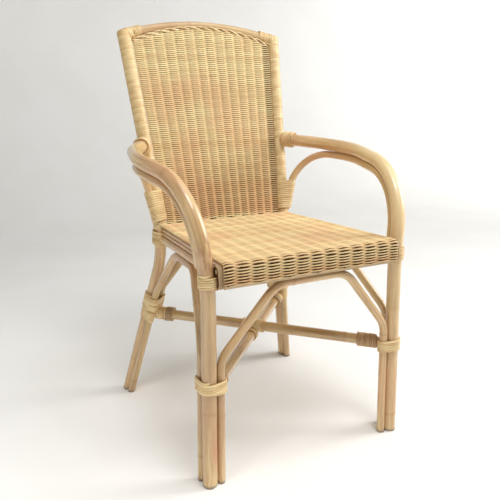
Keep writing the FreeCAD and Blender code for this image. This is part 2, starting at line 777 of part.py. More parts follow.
front_blocks = {}
brace_blocks = {}
for name, side in SIDES.items():
    leg = leg_corners(side)
    leg_up = unit(leg[1] - leg[0])
    base, run = binding_axes[name]
    wind_steady(f"leg_binding_{name}",
                Winding(base, run, [base], [over("pole_dia", "leg_binding_strand")]), "leg_binding")

    base = leg_axis(side, CLUSTER_FRONT)
    arch_side = side_arch_corners(name, side)
    held = [base, front_arch_leg(side, base.z), at_height(arch_side[0], arch_side[1], base.z)]
    cluster = Winding(base, leg_up, held, [over("pole_dia", "cluster_strand")]
                      + [over("arch_dia", "cluster_strand")] * 2)
    wind_steady(f"leg_wrap_front_{name}", cluster, "cluster")
    reach = 2 * size("stretcher_dia")
    swell = size("cluster_strand") / 2 + GAP
    front_blocks[name] = outline_block(f"leg_block_{name}", cluster, swell, reach, reach)

    post = post_corners(side)
    rear_up = unit(post[1] - post[0])
    base = rear_axis(side, CLUSTER_REAR)
    held = [base, side_arch_rear(side, base.z), rear_arch_leg(side, base.z)]
    wind_steady(f"leg_wrap_rear_{name}", Winding(
        base, rear_up, held,
        [over("post_dia", "cluster_strand")] + [over("arch_dia", "cluster_strand")] * 2), "cluster")

    base, run = knee_axes[name]
    ring = over("post_dia", "rail_binding_strand", "rail_binding_slack")
    wind_steady(f"rail_binding_{name}", Winding(base, run, [base], [ring]), "rail_binding")

    post_up = unit(post[3] - post[2])
    base = post_axis(side, above_seat("brace_wrap_rise"))
    strand = size("brace_wrap_strand")
    rise = size("brace_wrap_pitch") * size("brace_wrap_turns")
    low = brace_spot(side, base.z)
    high = on_wire(brace_wires[name], brace_spot(side, (base + post_up * (rise + strand)).z).z)
    pair = Winding(base, post_up, [base, low],
                   [over("post_dia", "brace_wrap_strand", "wrap_thickness"),
                    over("brace_dia", "brace_wrap_strand")], (high - low) / (rise + strand))
    wind_steady(f"brace_wrap_{name}", pair, "brace_wrap")
    brace_blocks[name] = outline_block(f"brace_block_{name}", pair, strand / 2 + GAP, strand, rise + strand)

    joint, run = leg[5], unit(leg[4] - leg[5])
    base = joint + run * size("arm_binding_inset")
    wind_steady(f"arm_binding_{name}",
                Winding(base, run, [base], [over("pole_dia", "arm_binding_strand")]), "arm_binding")

    parameter = crest_arc.getParameterByLength(size("crest_binding_inset"))
    base, run = crest_arc.valueAt(parameter), crest_arc.tangentAt(parameter)
    base, run = Vector(-side * base.x, base.y, base.z), Vector(-side * run.x, run.y, run.z)
    wind_steady(f"crest_binding_{name}",
                Winding(base, run, [base], [over("crest_dia", "crest_binding_strand")]), "crest_binding")

# Crossed stretchers: the lower one is notched for the upper one

stretchers = {}
rear_blocks = {}
for name, side in SIDES.items():
    post = post_corners(side)
    base = rear_axis(side, STRETCHER_REAR["upper"])
    legs = Winding(base, post[1] - post[0], [base, side_arch_rear(side, base.z)],
                   [size("post_dia") / 2, size("arch_dia") / 2])
    reach = 2 * size("stretcher_dia")
    rear_blocks[name] = outline_block(f"rear_block_{name}", legs, GAP, reach, reach)
for level, rear_name, front_name in (("upper", "left", "right"), ("lower", "right", "left")):
    rear = rear_axis(SIDES[rear_name], STRETCHER_REAR[level])
    front = leg_axis(SIDES[front_name], STRETCHER_FRONT[level])
    bar = straight_pole(f"stretcher_{level}", rear, front, radius_of("stretcher_dia"))
    seats = [rear_blocks[rear_name], front_blocks[front_name]]
    if level == "lower":
        seats.append(straight_pole("stretcher_notch", *stretchers["upper"], cope_of("stretcher_dia")))
    stretchers[level] = (rear, front)
    keep(f"cross_stretcher_{level}", cut(f"cross_stretcher_{level}", bar, seats))
    ring = over("stretcher_dia", "stretcher_binding_strand")
    for end, start, far, ending in (("rear", rear, front, rear_name), ("front", front, rear, front_name)):
        run = unit(far - start)
        base = start + run * size(f"stretcher_binding_{end}_inset")
        wind_steady(f"stretcher_binding_{end}_{ending}", Winding(base, run, [base], [ring]),
                    "stretcher_binding")

# Cord round the crossing: turns on each side of it, joined over the top of the upper stretcher

rear, front = stretchers["upper"]
run = unit(front - rear)
other = unit(stretchers["lower"][1] - stretchers["lower"][0])
level_run, level_other = unit(Vector(run.x, run.y, 0)), unit(Vector(other.x, other.y, 0))
offset = stretchers["lower"][0] - rear
crossing_share = offset.cross(level_other).z / level_run.cross(level_other).z
crossing = rear + run * (crossing_share / run.dot(level_run))
clear = size("stretcher_dia") / 2 + size("crossing_strand") / 2 + 2 * GAP
bridge = 2 * clear / math.sin(level_run.getAngle(level_other))
turns, pitch = count("crossing_turns"), size("crossing_pitch")
base = crossing - run * (bridge / 2 + pitch * turns)
lashing = Winding(base, run, [base], [over("stretcher_dia", "crossing_strand")])
half_steps = 2 * turns
even = pitch / (2 * math.pi * lashing.circles[0][1])
over_top = lashing.place.multVec(Vector(0, 1, 0)).z > base.z
climbs = [pitch / 2] * half_steps + [bridge] + [pitch / 2] * half_steps
if not over_top:
    climbs = [pitch / 2] + climbs[:half_steps] + [bridge] + climbs[-half_steps:]
wind("crossing_binding", lashing, climbs, [even] * (len(climbs) + 1), size("crossing_strand"))

# Woven back: a flat panel between the posts, bored for its upright stakes

left_post, right_post = post_corners(-1), post_corners(1)
back_origin = Vector(0, post_axis(1, above_seat("back_bottom_rise")).y, above_seat("back_bottom_rise"))
back_up = unit(Vector(0, right_post[3].y - right_post[2].y, right_post[3].z - right_post[2].z))
back_turn = FreeCAD.Rotation(Vector(1, 0, 0), -math.degrees(math.atan2(back_up.y, back_up.z)))
back_ahead = back_turn.multVec(Vector(0, -1, 0))
back_place = FreeCAD.Placement(back_origin + back_ahead * size("back_forward"), back_turn)
edge_clear = size("post_dia") / 2 + size("wrap_thickness") + GAP


def back_level(height):
    """Distance up the sloping back from its lower edge to a height."""
    return (height - back_origin.z) / back_up.z


def back_half(height):
    return post_axis(1, height).x - edge_clear


edging_end_height = crest_height - size("edging_drop")
edging_half, edging_level = back_half(edging_end_height), back_level(edging_end_height)
edging_ends = [back_place.multVec(Vector(side * edging_half, 0, edging_level)) for side in SIDES.values()]
edging_top = back_place.multVec(Vector(0, 0, back_level(edging_end_height + size("edging_rise"))))
edging_arc = Part.Arc(edging_ends[0], edging_top, edging_ends[1]).toShape()
edging = swept_pole("edging", Part.Wire([edging_arc]), radius_of("edging_dia"))
keep("back_edging", cut("back_edging", edging, [doc.getObject(f"post_cope_{name}") for name in SIDES]))

panel_drop = size("edging_dia") / 2 + GAP
panel_end_height = edging_end_height - panel_drop
body = doc.addObject("PartDesign::Body", "back_panel")
sketch = body.newObject("Sketcher::SketchObject", "back_outline")
plane = [feature for feature in body.Origin.OriginFeatures if feature.Role == "XZ_Plane"][0]
sketch.AttachmentSupport = [(plane, "")]
sketch.MapMode = "FlatFace"
lower_half, upper_half = back_half(above_seat("back_bottom_rise")), back_half(panel_end_height)
end_level = back_level(panel_end_height)
mid_level = back_level(panel_end_height + size("edging_rise"))
outline = [Vector(-lower_half, 0, 0), Vector(lower_half, 0, 0),
           Vector(upper_half, end_level, 0), Vector(-upper_half, end_level, 0)]
sketch.addGeometry(Part.LineSegment(outline[0], outline[1]))
sketch.addGeometry(Part.LineSegment(outline[1], outline[2]))
sketch.addGeometry(Part.Arc(outline[2], Vector(0, mid_level, 0), outline[3]))
sketch.addGeometry(Part.LineSegment(outline[3], outline[0]))
pad = body.newObject("PartDesign::Pad", "back_pad")
pad.Profile = sketch
pad.setExpression("Length", "sizes.back_weave_thickness")
pad.Midplane = True
body.Placement = back_place

stake_count = count("back_stake_count")
stake_lines = []
for index in range(stake_count):
    spread_share = 2 * index / (stake_count - 1) - 1
    foot_half = (lower_half - size("back_stake_inset")) * spread_share
    head_half = (upper_half - size("back_stake_inset")) * spread_share
    head_level = end_level + (mid_level - end_level) * (1 - spread_share ** 2) - size("back_stake_dia")
    stake_lines.append((back_place.multVec(Vector(foot_half, 0, -size("back_stake_tail"))),
                        back_place.multVec(Vector(head_half, 0, head_level))))


def rod_group(name, wires, dia, extra):
    """Round rods along the wires, as a group of separate solids."""
    group = doc.addObject("Part::Compound", name)
    group.Links = [swept_pole(f"{name}_{index}", wire, f"sizes.{dia} / 2{extra}")
                   for index, wire in enumerate(wires)]
    return group


back_wires = [Part.Wire([Part.LineSegment(*line).toShape()]) for line in stake_lines]
keep("back_stakes", rod_group("back_stake", back_wires, "back_stake_dia", ""))
back_bores = rod_group("back_bore", back_wires, "back_stake_dia", " + sizes.fit_gap")
keep("back_weave", cut("back_weave", body, [back_bores] + list(brace_blocks.values())))

# Woven seat: the top turns down over the front rail into the apron

weave = size("seat_weave_thickness")
back_face = (back_origin + back_ahead * (size("back_forward") + size("back_weave_thickness") / 2)).y
seat_rear = back_face - 2 * GAP
seat_front = at(0, -size("seat_overhang"), 0).y
corner = size("seat_corner_radius")
apron_low = size("seat_height") - size("apron_height")
seat_body = doc.addObject("PartDesign::Body", "seat_panel")
profile = seat_body.newObject("Sketcher::SketchObject", "seat_profile")
plane = [feature for feature in seat_body.Origin.OriginFeatures if feature.Role == "YZ_Plane"][0]
profile.AttachmentSupport = [(plane, "")]
profile.MapMode = "FlatFace"
top, under = size("seat_height"), seat_underside
bend = Vector(seat_front + corner, top - corner, 0)
diagonal = Vector(-1, 1, 0) / math.sqrt(2)
inner = corner - weave
outside = [Vector(seat_rear, under, 0), Vector(seat_rear, top, 0), Vector(bend.x, top, 0),
           Vector(seat_front, bend.y, 0), Vector(seat_front, apron_low, 0)]
inside = [Vector(seat_front + weave, apron_low, 0), Vector(seat_front + weave, bend.y, 0),
          Vector(bend.x, under, 0)]
profile.addGeometry(Part.LineSegment(outside[0], outside[1]))
profile.addGeometry(Part.LineSegment(outside[1], outside[2]))
profile.addGeometry(Part.Arc(outside[2], bend + diagonal * corner, outside[3]))
profile.addGeometry(Part.LineSegment(outside[3], outside[4]))
profile.addGeometry(Part.LineSegment(outside[4], inside[0]))
profile.addGeometry(Part.LineSegment(inside[0], inside[1]))
profile.addGeometry(Part.Arc(inside[1], bend + diagonal * inner, inside[2]))
profile.addGeometry(Part.LineSegment(inside[2], outside[0]))
seat_pad = seat_body.newObject("PartDesign::Pad", "seat_pad")
seat_pad.Profile = profile
seat_pad.setExpression(
    "Length", "2 * (sizes.front_foot_half - sizes.leg_waist_in - sizes.seat_front_in)")
seat_pad.Midplane = True

side_cuts = seat_body.newObject("Sketcher::SketchObject", "seat_sides")
plane = [feature for feature in seat_body.Origin.OriginFeatures if feature.Role == "XY_Plane"][0]
side_cuts.AttachmentSupport = [(plane, "")]
side_cuts.MapMode = "FlatFace"
overrun = size("cut_overrun")
for side in SIDES.values():
    front_half, rear_half = SEAT_FRONT_HALF, SEAT_REAR_HALF
    lean = (front_half - rear_half) / (seat_rear - seat_front)
    far = [Vector(side * front_half, seat_front, 0),
           Vector(side * (rear_half - lean * overrun), seat_rear + overrun, 0),
           Vector(side * (front_half + overrun), seat_rear + overrun, 0)]
    for start, end in zip(far, far[1:] + far[:1]):
        side_cuts.addGeometry(Part.LineSegment(start, end))
taper = seat_body.newObject("PartDesign::Pocket", "seat_taper")
taper.Profile = side_cuts
taper.Type = "ThroughAll"
taper.Midplane = True

seat_wires = []
stake_count = count("seat_stake_count")
stake_front = seat_front + weave / 2
stake_bend = corner - weave / 2
for index in range(stake_count):
    spread_share = 2 * index / (stake_count - 1) - 1
    front_half = (SEAT_FRONT_HALF - size("seat_stake_inset")) * spread_share
    rear_half = (SEAT_REAR_HALF - size("seat_stake_inset")) * spread_share
    front_end = Vector(front_half, stake_front, stake_level)
    rear_edge = Vector(rear_half, seat_rear, stake_level)
    tail_share = 1 + size("seat_stake_tail") / (seat_rear - stake_front)
    corners = [between(front_end, rear_edge, tail_share), front_end,
               Vector(front_half, stake_front, apron_low + size("seat_stake_dia") / 2)]
    seat_wires.append(rounded_wire(corners, [stake_bend]))
seat_rods = rod_group("seat_stake", seat_wires, "seat_stake_dia", "")
keep("seat_stakes", cut("seat_stakes", seat_rods, post_copes))
seat_bores = rod_group("seat_bore", seat_wires, "seat_stake_dia", " + sizes.fit_gap")
keep("seat_weave", cut("seat_weave", seat_body, [seat_bores] + post_copes))

doc.recompute()

faults = [feature.Name for feature in doc.Objects if {"Invalid", "Error"} & set(feature.State)]
groups = {"back_stakes": count("back_stake_count"), "seat_stakes": count("seat_stake_count")}
for label, feature in pieces.items():
    if len(feature.Shape.Solids) != groups.get(label, 1):
        faults.append(f"{label} in {len(feature.Shape.Solids)} solids")
    if feature.Shape.isNull() or not feature.Shape.isValid():
        faults.append(label)
if faults:
    raise RuntimeError("failed: " + ", ".join(faults))

os.makedirs("parts", exist_ok=True)
for label, feature in pieces.items():
    feature.Shape.exportStep(f"parts/{label}.step")
print(f"{len(pieces)} pieces written")
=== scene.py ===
"""Rattan armchair: bent lacquered poles, woven seat and back, joints bound with cane.

Metres. The chair faces -Y and +Z is up; the origin is on the floor below its middle.
Depths are measured back from the axis of the front feet, as in the part's source.
"""
import math

import bmesh
import bpy
from mathutils import Matrix, Vector


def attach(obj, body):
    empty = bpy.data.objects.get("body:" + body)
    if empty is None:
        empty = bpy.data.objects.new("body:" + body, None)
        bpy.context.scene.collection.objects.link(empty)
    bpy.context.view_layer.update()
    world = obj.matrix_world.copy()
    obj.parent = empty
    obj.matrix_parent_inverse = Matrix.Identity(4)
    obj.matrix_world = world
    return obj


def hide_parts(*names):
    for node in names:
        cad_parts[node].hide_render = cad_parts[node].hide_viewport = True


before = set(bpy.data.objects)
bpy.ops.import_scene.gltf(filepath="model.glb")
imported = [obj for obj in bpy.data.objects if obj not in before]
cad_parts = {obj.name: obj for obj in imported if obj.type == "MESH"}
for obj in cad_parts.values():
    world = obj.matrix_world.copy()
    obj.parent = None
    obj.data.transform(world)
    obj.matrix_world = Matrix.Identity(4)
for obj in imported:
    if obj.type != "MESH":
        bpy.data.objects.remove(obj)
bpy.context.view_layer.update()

MM = 0.001
UP = Vector((0, 0, 1))
SIDES = {"left": -1, "right": 1}


# Node trees, written one node at a time


class NodeBench:
    """Adds nodes to a tree; each call joins or sets the inputs in order and gives an output."""

    def __init__(self, tree):
        self.tree = tree

    def add(self, kind, *values, out=0, **settings):
        node = self.tree.nodes.new(kind)
        for key, value in settings.items():
            setattr(node, key, value)
        live = [socket for socket in node.inputs if socket.enabled]
        for socket, value in zip(live, values):
            if isinstance(value, bpy.types.NodeSocket):
                self.tree.links.new(value, socket)
            elif value is not None:
                socket.default_value = value
        return [socket for socket in node.outputs if socket.enabled][out]

    def math(self, operation, *values):
        return self.add("ShaderNodeMath", *values, operation=operation)

    def vector(self, operation, *values):
        return self.add("ShaderNodeVectorMath", *values, operation=operation)

    def split(self, vector, axis):
        return self.add("ShaderNodeSeparateXYZ", vector, out="XYZ".index(axis))

    def join(self, *parts):
        return self.add("ShaderNodeCombineXYZ", *parts)

    def ease(self, value, low, high, start=0.0, end=1.0):
        """Smooth step of a value from one level to another."""
        return self.add("ShaderNodeMapRange", value, low, high, start, end, interpolation_type="SMOOTHSTEP")

    def noise(self, place, scale, detail=2.0, rough=0.5):
        if place.type == "VECTOR":
            return self.add("ShaderNodeTexNoise", place, scale, detail, rough)
        return self.add("ShaderNodeTexNoise", place, scale, detail, rough, noise_dimensions="1D")

    def chance(self, number):
        """Steady random share for a whole number."""
        return self.add("ShaderNodeTexWhiteNoise", number, noise_dimensions="1D")


class GeometryBench(NodeBench):
    """A geometry tree with named inputs for its sizes."""

    def __init__(self, name, sizes):
        super().__init__(bpy.data.node_groups.new(name, "GeometryNodeTree"))
        face = self.tree.interface
        face.new_socket("Start", in_out="INPUT", socket_type="NodeSocketGeometry")
        for label, kind in sizes.items():
            face.new_socket(label, in_out="INPUT", socket_type="NodeSocket" + kind)
        face.new_socket("Finish", in_out="INPUT", socket_type="NodeSocketMaterial")
        face.new_socket("Piece", in_out="OUTPUT", socket_type="NodeSocketGeometry")
        self.source = self.tree.nodes.new("NodeGroupInput")

    def size(self, label):
        return self.source.outputs[label]

    def named(self, label, kind="FLOAT"):
        return self.add("GeometryNodeInputNamedAttribute", label, data_type=kind)

    def store(self, geometry, label, value, kind="FLOAT"):
        return self.add("GeometryNodeStoreNamedAttribute", geometry, None, label, value,
                        data_type=kind, domain="POINT")

    def place(self):
        return self.add("GeometryNodeInputPosition")

    def finish(self, mesh):
        """Smooth sides, flat ends, one finish, no instances left."""
        corners = self.add("GeometryNodeInputMeshFaceNeighbors")
        ends = self.add("FunctionNodeCompare", corners, 4, data_type="INT", operation="GREATER_THAN")
        mesh = self.add("GeometryNodeSetShadeSmooth", mesh, None, True)
        mesh = self.add("GeometryNodeSetShadeSmooth", mesh, ends, False)
        mesh = self.add("GeometryNodeRealizeInstances", mesh)
        mesh = self.add("GeometryNodeSetMaterial", mesh, None, self.size("Finish"))
        sink = self.tree.nodes.new("NodeGroupOutput")
        self.tree.links.new(mesh, sink.inputs["Piece"])
        return self.tree


def pole_tree():
    """Round pole along straight runs and bends, swelling a little at each of its growth rings."""
    bend_steps, ring_reach, seed_stride = 14, 0.005, 7.31
    b = GeometryBench("pole", {
        "Radius": "Float", "Step": "Float", "Sides": "Int", "Ring spacing": "Float", "Ring swell": "Float",
        "Wander": "Float", "Round end": "Float", "Seed": "Float"})
    curve = b.add("GeometryNodeMeshToCurve", b.size("Start"))
    curve = b.add("GeometryNodeFilletCurve", curve, bend_steps, b.named("bend"), False, mode="POLY")
    curve = b.add("GeometryNodeResampleCurve", curve, None, b.size("Step"), mode="LENGTH")
    length = b.add("GeometryNodeSplineParameter", out=1)
    run = b.math("ADD", length, b.math("MULTIPLY", b.size("Seed"), seed_stride))
    cell = b.math("DIVIDE", run, b.size("Ring spacing"))
    off_ring = b.math("ABSOLUTE", b.math("SUBTRACT", b.math("FRACT", cell), 0.5))
    ring = b.ease(b.math("MULTIPLY", off_ring, b.size("Ring spacing")), 0.0, ring_reach, 1.0, 0.0)
    curve = b.store(curve, "run", run)
    curve = b.store(curve, "ring", ring)
    curve = b.store(curve, "reach", b.chance(b.math("FLOOR", b.math("ADD", cell, 0.5))))
    drift = b.math("SUBTRACT", b.noise(run, 9.0, 1.0), 0.5)
    radius = b.math("MULTIPLY", b.size("Radius"),
                    b.math("ADD", 1.0, b.math("MULTIPLY", drift, b.size("Wander"))))
    radius = b.math("ADD", radius, b.math("MULTIPLY", ring, b.size("Ring swell")))
    to_end = b.math("SUBTRACT", b.add("GeometryNodeSplineLength"), length)
    to_end = b.math("DIVIDE", to_end, b.math("MAXIMUM", b.size("Round end"), 0.00001))
    short = b.math("SUBTRACT", 1.0, b.math("MINIMUM", to_end, 1.0))
    dome = b.math("SQRT", b.math("SUBTRACT", 1.04, b.math("MULTIPLY", short, short)))
    radius = b.math("MULTIPLY", radius, b.math("MINIMUM", dome, 1.0))
    round_edge = b.add("GeometryNodeCurvePrimitiveCircle", b.size("Sides"), 1.0)
    round_edge = b.store(round_edge, "round", b.place(), "FLOAT_VECTOR")
    mesh = b.add("GeometryNodeCurveToMesh", curve, round_edge, radius, True)
    around = b.named("round", "FLOAT_VECTOR")
    lay = b.join(b.split(around, "X"), b.split(around, "Y"), b.named("run"))
    return b.finish(b.store(mesh, "lay", lay, "FLOAT_VECTOR"))


def winding_tree():
    """Strand laid turn on turn from one outline to another, its two ends tucked under."""
    seed_stride, tuck_turns, tuck_depth = 13.7, 0.1, 1.4
    wobble_along, wobble_out = 0.6, 0.5
    b = GeometryBench("winding", {
        "Turns": "Float", "Pitch": "Float", "Width": "Float", "Thickness": "Float", "Square": "Float",
        "Steps": "Int", "Sides": "Int", "Along": "Vector", "Middle": "Vector", "Unevenness": "Float",
        "Seed": "Float"})
    outline = b.add("GeometryNodeMeshToCurve", b.size("Start"))
    steps = b.size("Steps")
    total = b.math("ADD", b.math("FLOOR", b.math("MULTIPLY", b.size("Turns"), steps)), 1.0)
    strand = b.add("GeometryNodeMeshLine", total, None, (0, 0, 0), (0, 0, 0.001))
    strand = b.add("GeometryNodeMeshToCurve", strand)
    index = b.add("GeometryNodeInputIndex")
    turn = b.math("DIVIDE", index, steps)
    first, last = [b.add("GeometryNodeSampleCurve", outline, None, b.math("FRACT", turn), which, out=1,
                         mode="FACTOR") for which in (0, 1)]
    passed = b.math("DIVIDE", turn, b.size("Turns"))
    on_outline = b.vector("ADD", first, b.vector("SCALE", b.vector("SUBTRACT", last, first), passed))
    seeded = b.math("ADD", turn, b.math("MULTIPLY", b.size("Seed"), seed_stride))
    wobble = b.math("MULTIPLY", b.math("SUBTRACT", b.noise(seeded, 1.9, 2.0), 0.5), b.size("Unevenness"))
    stray = b.math("ADD", turn, b.math("MULTIPLY", wobble, wobble_along))
    climb = b.math("MULTIPLY", stray, b.size("Pitch"))
    climbed = b.vector("SCALE", b.size("Along"), climb)
    strand = b.store(strand, "turn", seeded)
    strand = b.add("GeometryNodeSetPosition", strand, None, b.vector("ADD", on_outline, climbed))
    tangent = b.add("GeometryNodeInputTangent")
    outward = b.vector("NORMALIZE", b.vector("CROSS_PRODUCT", tangent, b.size("Along")))
    from_middle = b.vector("SUBTRACT", b.place(), b.size("Middle"))
    side = b.math("SIGN", b.vector("DOT_PRODUCT", outward, from_middle))
    outward = b.vector("SCALE", outward, side)
    to_last = b.math("SUBTRACT", b.math("SUBTRACT", total, 1.0), index)
    from_end = b.math("DIVIDE", b.math("MINIMUM", index, to_last), steps)
    tuck = b.ease(from_end, 0.0, tuck_turns, tuck_depth, 0.0)
    bulge = b.math("SUBTRACT", b.math("MULTIPLY", wobble, wobble_out), tuck)
    lift = b.math("MULTIPLY", bulge, b.size("Thickness"))
    strand = b.store(strand, "outward", outward, "FLOAT_VECTOR")
    outward = b.named("outward", "FLOAT_VECTOR")
    strand = b.add("GeometryNodeSetPosition", strand, None, None, b.vector("SCALE", outward, lift))
    strand = b.add("GeometryNodeSetCurveNormal", strand, None, outward, mode="FREE")
    strand = b.store(strand, "run", b.add("GeometryNodeSplineParameter", out=1))
    section = b.add("GeometryNodeCurvePrimitiveCircle", b.size("Sides"), 1.0)
    parts = []
    for axis, breadth in (("X", "Thickness"), ("Y", "Width")):
        part = b.split(b.place(), axis)
        squared = b.math("MULTIPLY", b.math("SIGN", part),
                         b.math("POWER", b.math("ABSOLUTE", part), b.size("Square")))
        parts.append(b.math("MULTIPLY", squared, b.math("MULTIPLY", b.size(breadth), 0.5)))
    section = b.store(section, "across", b.split(b.place(), "Y"))
    section = b.add("GeometryNodeSetPosition", section, None, b.join(*parts))
    return b.finish(b.add("GeometryNodeCurveToMesh", strand, section, 1.0, True))


def weave_tree():
    """Rows of strand passed in front of and behind the stakes by turns, over a bed surface."""
    hump_power, crossing_reach = 1.15, 0.9
    hem_start, hem_full = 0.88, 0.93
    rim_start, rim_full = -0.5, -0.25
    b = GeometryBench("weave", {
        "Rows": "Int", "Stakes": "Int", "Points": "Int", "Sides": "Int", "Breadth": "Float",
        "Thickness": "Float", "Waist": "Float", "Flat waist": "Float", "Lift": "Float", "Margin": "Float",
        "Pairing": "Float", "Crown": "Float", "Rim share": "Float", "Hem share": "Float",
        "Hem lift": "Float", "Unevenness": "Float", "Seed": "Float"})
    rows, stakes = b.size("Rows"), b.size("Stakes")
    across = b.math("ADD", b.math("MULTIPLY", stakes, b.size("Points")), 1.0)
    grid = b.add("GeometryNodeMeshGrid", 1.0, 1.0, across, rows)
    ends = [b.add("GeometryNodeInputMeshEdgeVertices", out=which) for which in (2, 3)]
    step = b.math("SUBTRACT", b.split(ends[0], "Y"), b.split(ends[1], "Y"))
    level = b.math("LESS_THAN", b.math("ABSOLUTE", step), 0.00001)
    strands = b.add("GeometryNodeMeshToCurve", grid, level)
    row = b.math("ROUND", b.math("MULTIPLY", b.math("ADD", b.split(b.place(), "Y"), 0.5),
                                 b.math("SUBTRACT", rows, 1.0)))
    beat = b.math("SUBTRACT", b.math("MULTIPLY", b.math("ADD", b.split(b.place(), "X"), 0.5), stakes), 0.5)
    strands = b.store(strands, "row", row)
    strands = b.store(strands, "beat", beat)
    row, beat = b.named("row"), b.named("beat")
    face = b.math("SUBTRACT", 1.0, b.math("MULTIPLY", b.math("MODULO", row, 2.0), 2.0))
    last = b.math("SUBTRACT", stakes, 1.0)
    swing = b.math("COSINE", b.math("MULTIPLY", beat, math.pi))
    hump = b.math("MULTIPLY", b.math("SIGN", swing), b.math("POWER", b.math("ABSOLUTE", swing), hump_power))
    wave = b.math("MULTIPLY", face, hump)
    before = b.math("MAXIMUM", b.math("MULTIPLY", beat, -1.0), 0.0)
    after = b.math("MAXIMUM", b.math("SUBTRACT", beat, last), 0.0)
    first_turn = b.math("SINE", b.math("MULTIPLY", before, math.pi))
    last_turn = b.math("SINE", b.math("MULTIPLY", after, math.pi))
    held = b.math("MINIMUM", b.math("MAXIMUM", beat, 0.0), last)
    past = b.math("MULTIPLY", b.math("SUBTRACT", last_turn, first_turn), b.size("Margin"))
    place = b.math("ADD", held, past)
    width = b.math("ADD", last, b.math("MULTIPLY", b.size("Margin"), 2.0))
    u = b.math("DIVIDE", b.math("ADD", place, b.size("Margin")), width)
    pairing = b.math("MULTIPLY", b.math("MULTIPLY", face, b.math("ADD", first_turn, last_turn)),
                     b.size("Pairing"))
    drift = b.join(b.math("MULTIPLY", row, 0.31), b.math("MULTIPLY", beat, 0.45), b.size("Seed"))
    loose = b.noise(drift, 1.0)
    loose = b.math("MULTIPLY", b.math("SUBTRACT", loose, 0.5), b.size("Unevenness"))
    v = b.math("ADD", b.math("ADD", row, 0.5), b.math("ADD", pairing, loose))
    v = b.math("DIVIDE", v, rows)
    from_middle = b.math("SUBTRACT", b.math("MULTIPLY", u, 2.0), 1.0)
    drop = b.math("MULTIPLY", b.math("MULTIPLY", from_middle, from_middle), b.size("Crown"))
    arch = b.math("SUBTRACT", 1.0, drop)
    strands = b.add("GeometryNodeDeleteGeometry", strands, b.math("GREATER_THAN", v, arch), domain="POINT")
    on_bed = b.join(b.math("MINIMUM", b.math("MAXIMUM", u, 0.0005), 0.9995),
                    b.math("MINIMUM", b.math("MAXIMUM", v, 0.0005), 0.9995), 0.0)
    bed_map = b.named("bed", "FLOAT_VECTOR")
    bed = b.size("Start")
    point = b.add("GeometryNodeSampleUVSurface", bed, b.place(), bed_map, on_bed, data_type="FLOAT_VECTOR")
    normal = b.add("GeometryNodeSampleUVSurface", bed, b.add("GeometryNodeInputNormal"), bed_map, on_bed,
                   data_type="FLOAT_VECTOR")
    strands = b.store(strands, "outward", normal, "FLOAT_VECTOR")
    lift = b.math("MULTIPLY", b.size("Lift"), b.ease(v, hem_start, hem_full, 1.0, b.size("Hem lift")))
    raised = b.vector("SCALE", normal, b.math("MULTIPLY", wave, lift))
    strands = b.add("GeometryNodeSetPosition", strands, None, b.vector("ADD", point, raised))
    strands = b.add("GeometryNodeSetCurveNormal", strands, None, b.named("outward", "FLOAT_VECTOR"),
                    mode="FREE")
    strands = b.store(strands, "tone", b.chance(b.math("ADD", b.math("FLOOR", b.math("DIVIDE", row, 2.0)),
                                                       b.size("Seed"))))
    strands = b.store(strands, "face", wave)
    strands = b.store(strands, "rim", b.math("SUBTRACT", beat, last))
    section = b.add("GeometryNodeCurvePrimitiveCircle", b.size("Sides"), 1.0)
    section = b.store(section, "outer", b.split(b.place(), "X"))
    section = b.store(section, "across", b.split(b.place(), "Y"))
    halves = [b.math("MULTIPLY", b.size(label), 0.5) for label in ("Thickness", "Breadth")]
    section = b.add("GeometryNodeTransform", section, None, None, b.join(*halves, 1.0))
    rise = b.math("DIVIDE", b.named("row"), rows)
    waist = b.ease(rise, hem_start, hem_full, b.size("Flat waist"), b.size("Waist"))
    scale = b.ease(b.math("ABSOLUTE", b.named("face")), 0.0, crossing_reach, waist, 1.0)
    rim = b.ease(b.named("rim"), rim_start, rim_full, 1.0, b.size("Rim share"))
    scale = b.math("MINIMUM", scale, rim)
    scale = b.math("MULTIPLY", scale, b.ease(rise, hem_start, hem_full, 1.0, b.size("Hem share")))
    return b.finish(b.add("GeometryNodeCurveToMesh", strands, section, scale, True))


def twist_tree():
    """Two strands twisted together along a bent line."""
    arc_steps = 40
    b = GeometryBench("twist", {"Strand": "Float", "Lay": "Float", "Step": "Float", "Sides": "Int"})
    curve = b.add("GeometryNodeMeshToCurve", b.size("Start"))
    curve = b.add("GeometryNodeFilletCurve", curve, arc_steps, b.named("bend"), False, mode="POLY")
    curve = b.add("GeometryNodeResampleCurve", curve, None, b.size("Step"), mode="LENGTH")
    length = b.add("GeometryNodeSplineParameter", out=1)
    turned = b.math("MULTIPLY", b.math("DIVIDE", length, b.size("Lay")), 2 * math.pi)
    curve = b.store(curve, "run", length)
    curve = b.store(curve, "centre", b.place(), "FLOAT_VECTOR")
    curve = b.add("GeometryNodeSetCurveTilt", curve, None, turned)
    half = b.math("MULTIPLY", b.size("Strand"), 0.5)
    ring = b.add("GeometryNodeCurvePrimitiveCircle", b.size("Sides"), half)
    pair = b.tree.nodes.new("GeometryNodeJoinGeometry")
    for side in (-1.0, 1.0):
        moved = b.add("GeometryNodeTransform", ring, b.join(b.math("MULTIPLY", half, side), 0.0, 0.0))
        moved = b.store(moved, "tone", 0.5 + 0.25 * side)
        b.tree.links.new(moved, pair.inputs[0])
    mesh = b.add("GeometryNodeCurveToMesh", curve, pair.outputs[0], 1.0, True)
    off_axis = b.vector("LENGTH", b.vector("SUBTRACT", b.place(), b.named("centre", "FLOAT_VECTOR")))
    return b.finish(b.store(mesh, "depth", b.math("DIVIDE", off_axis, b.size("Strand"))))


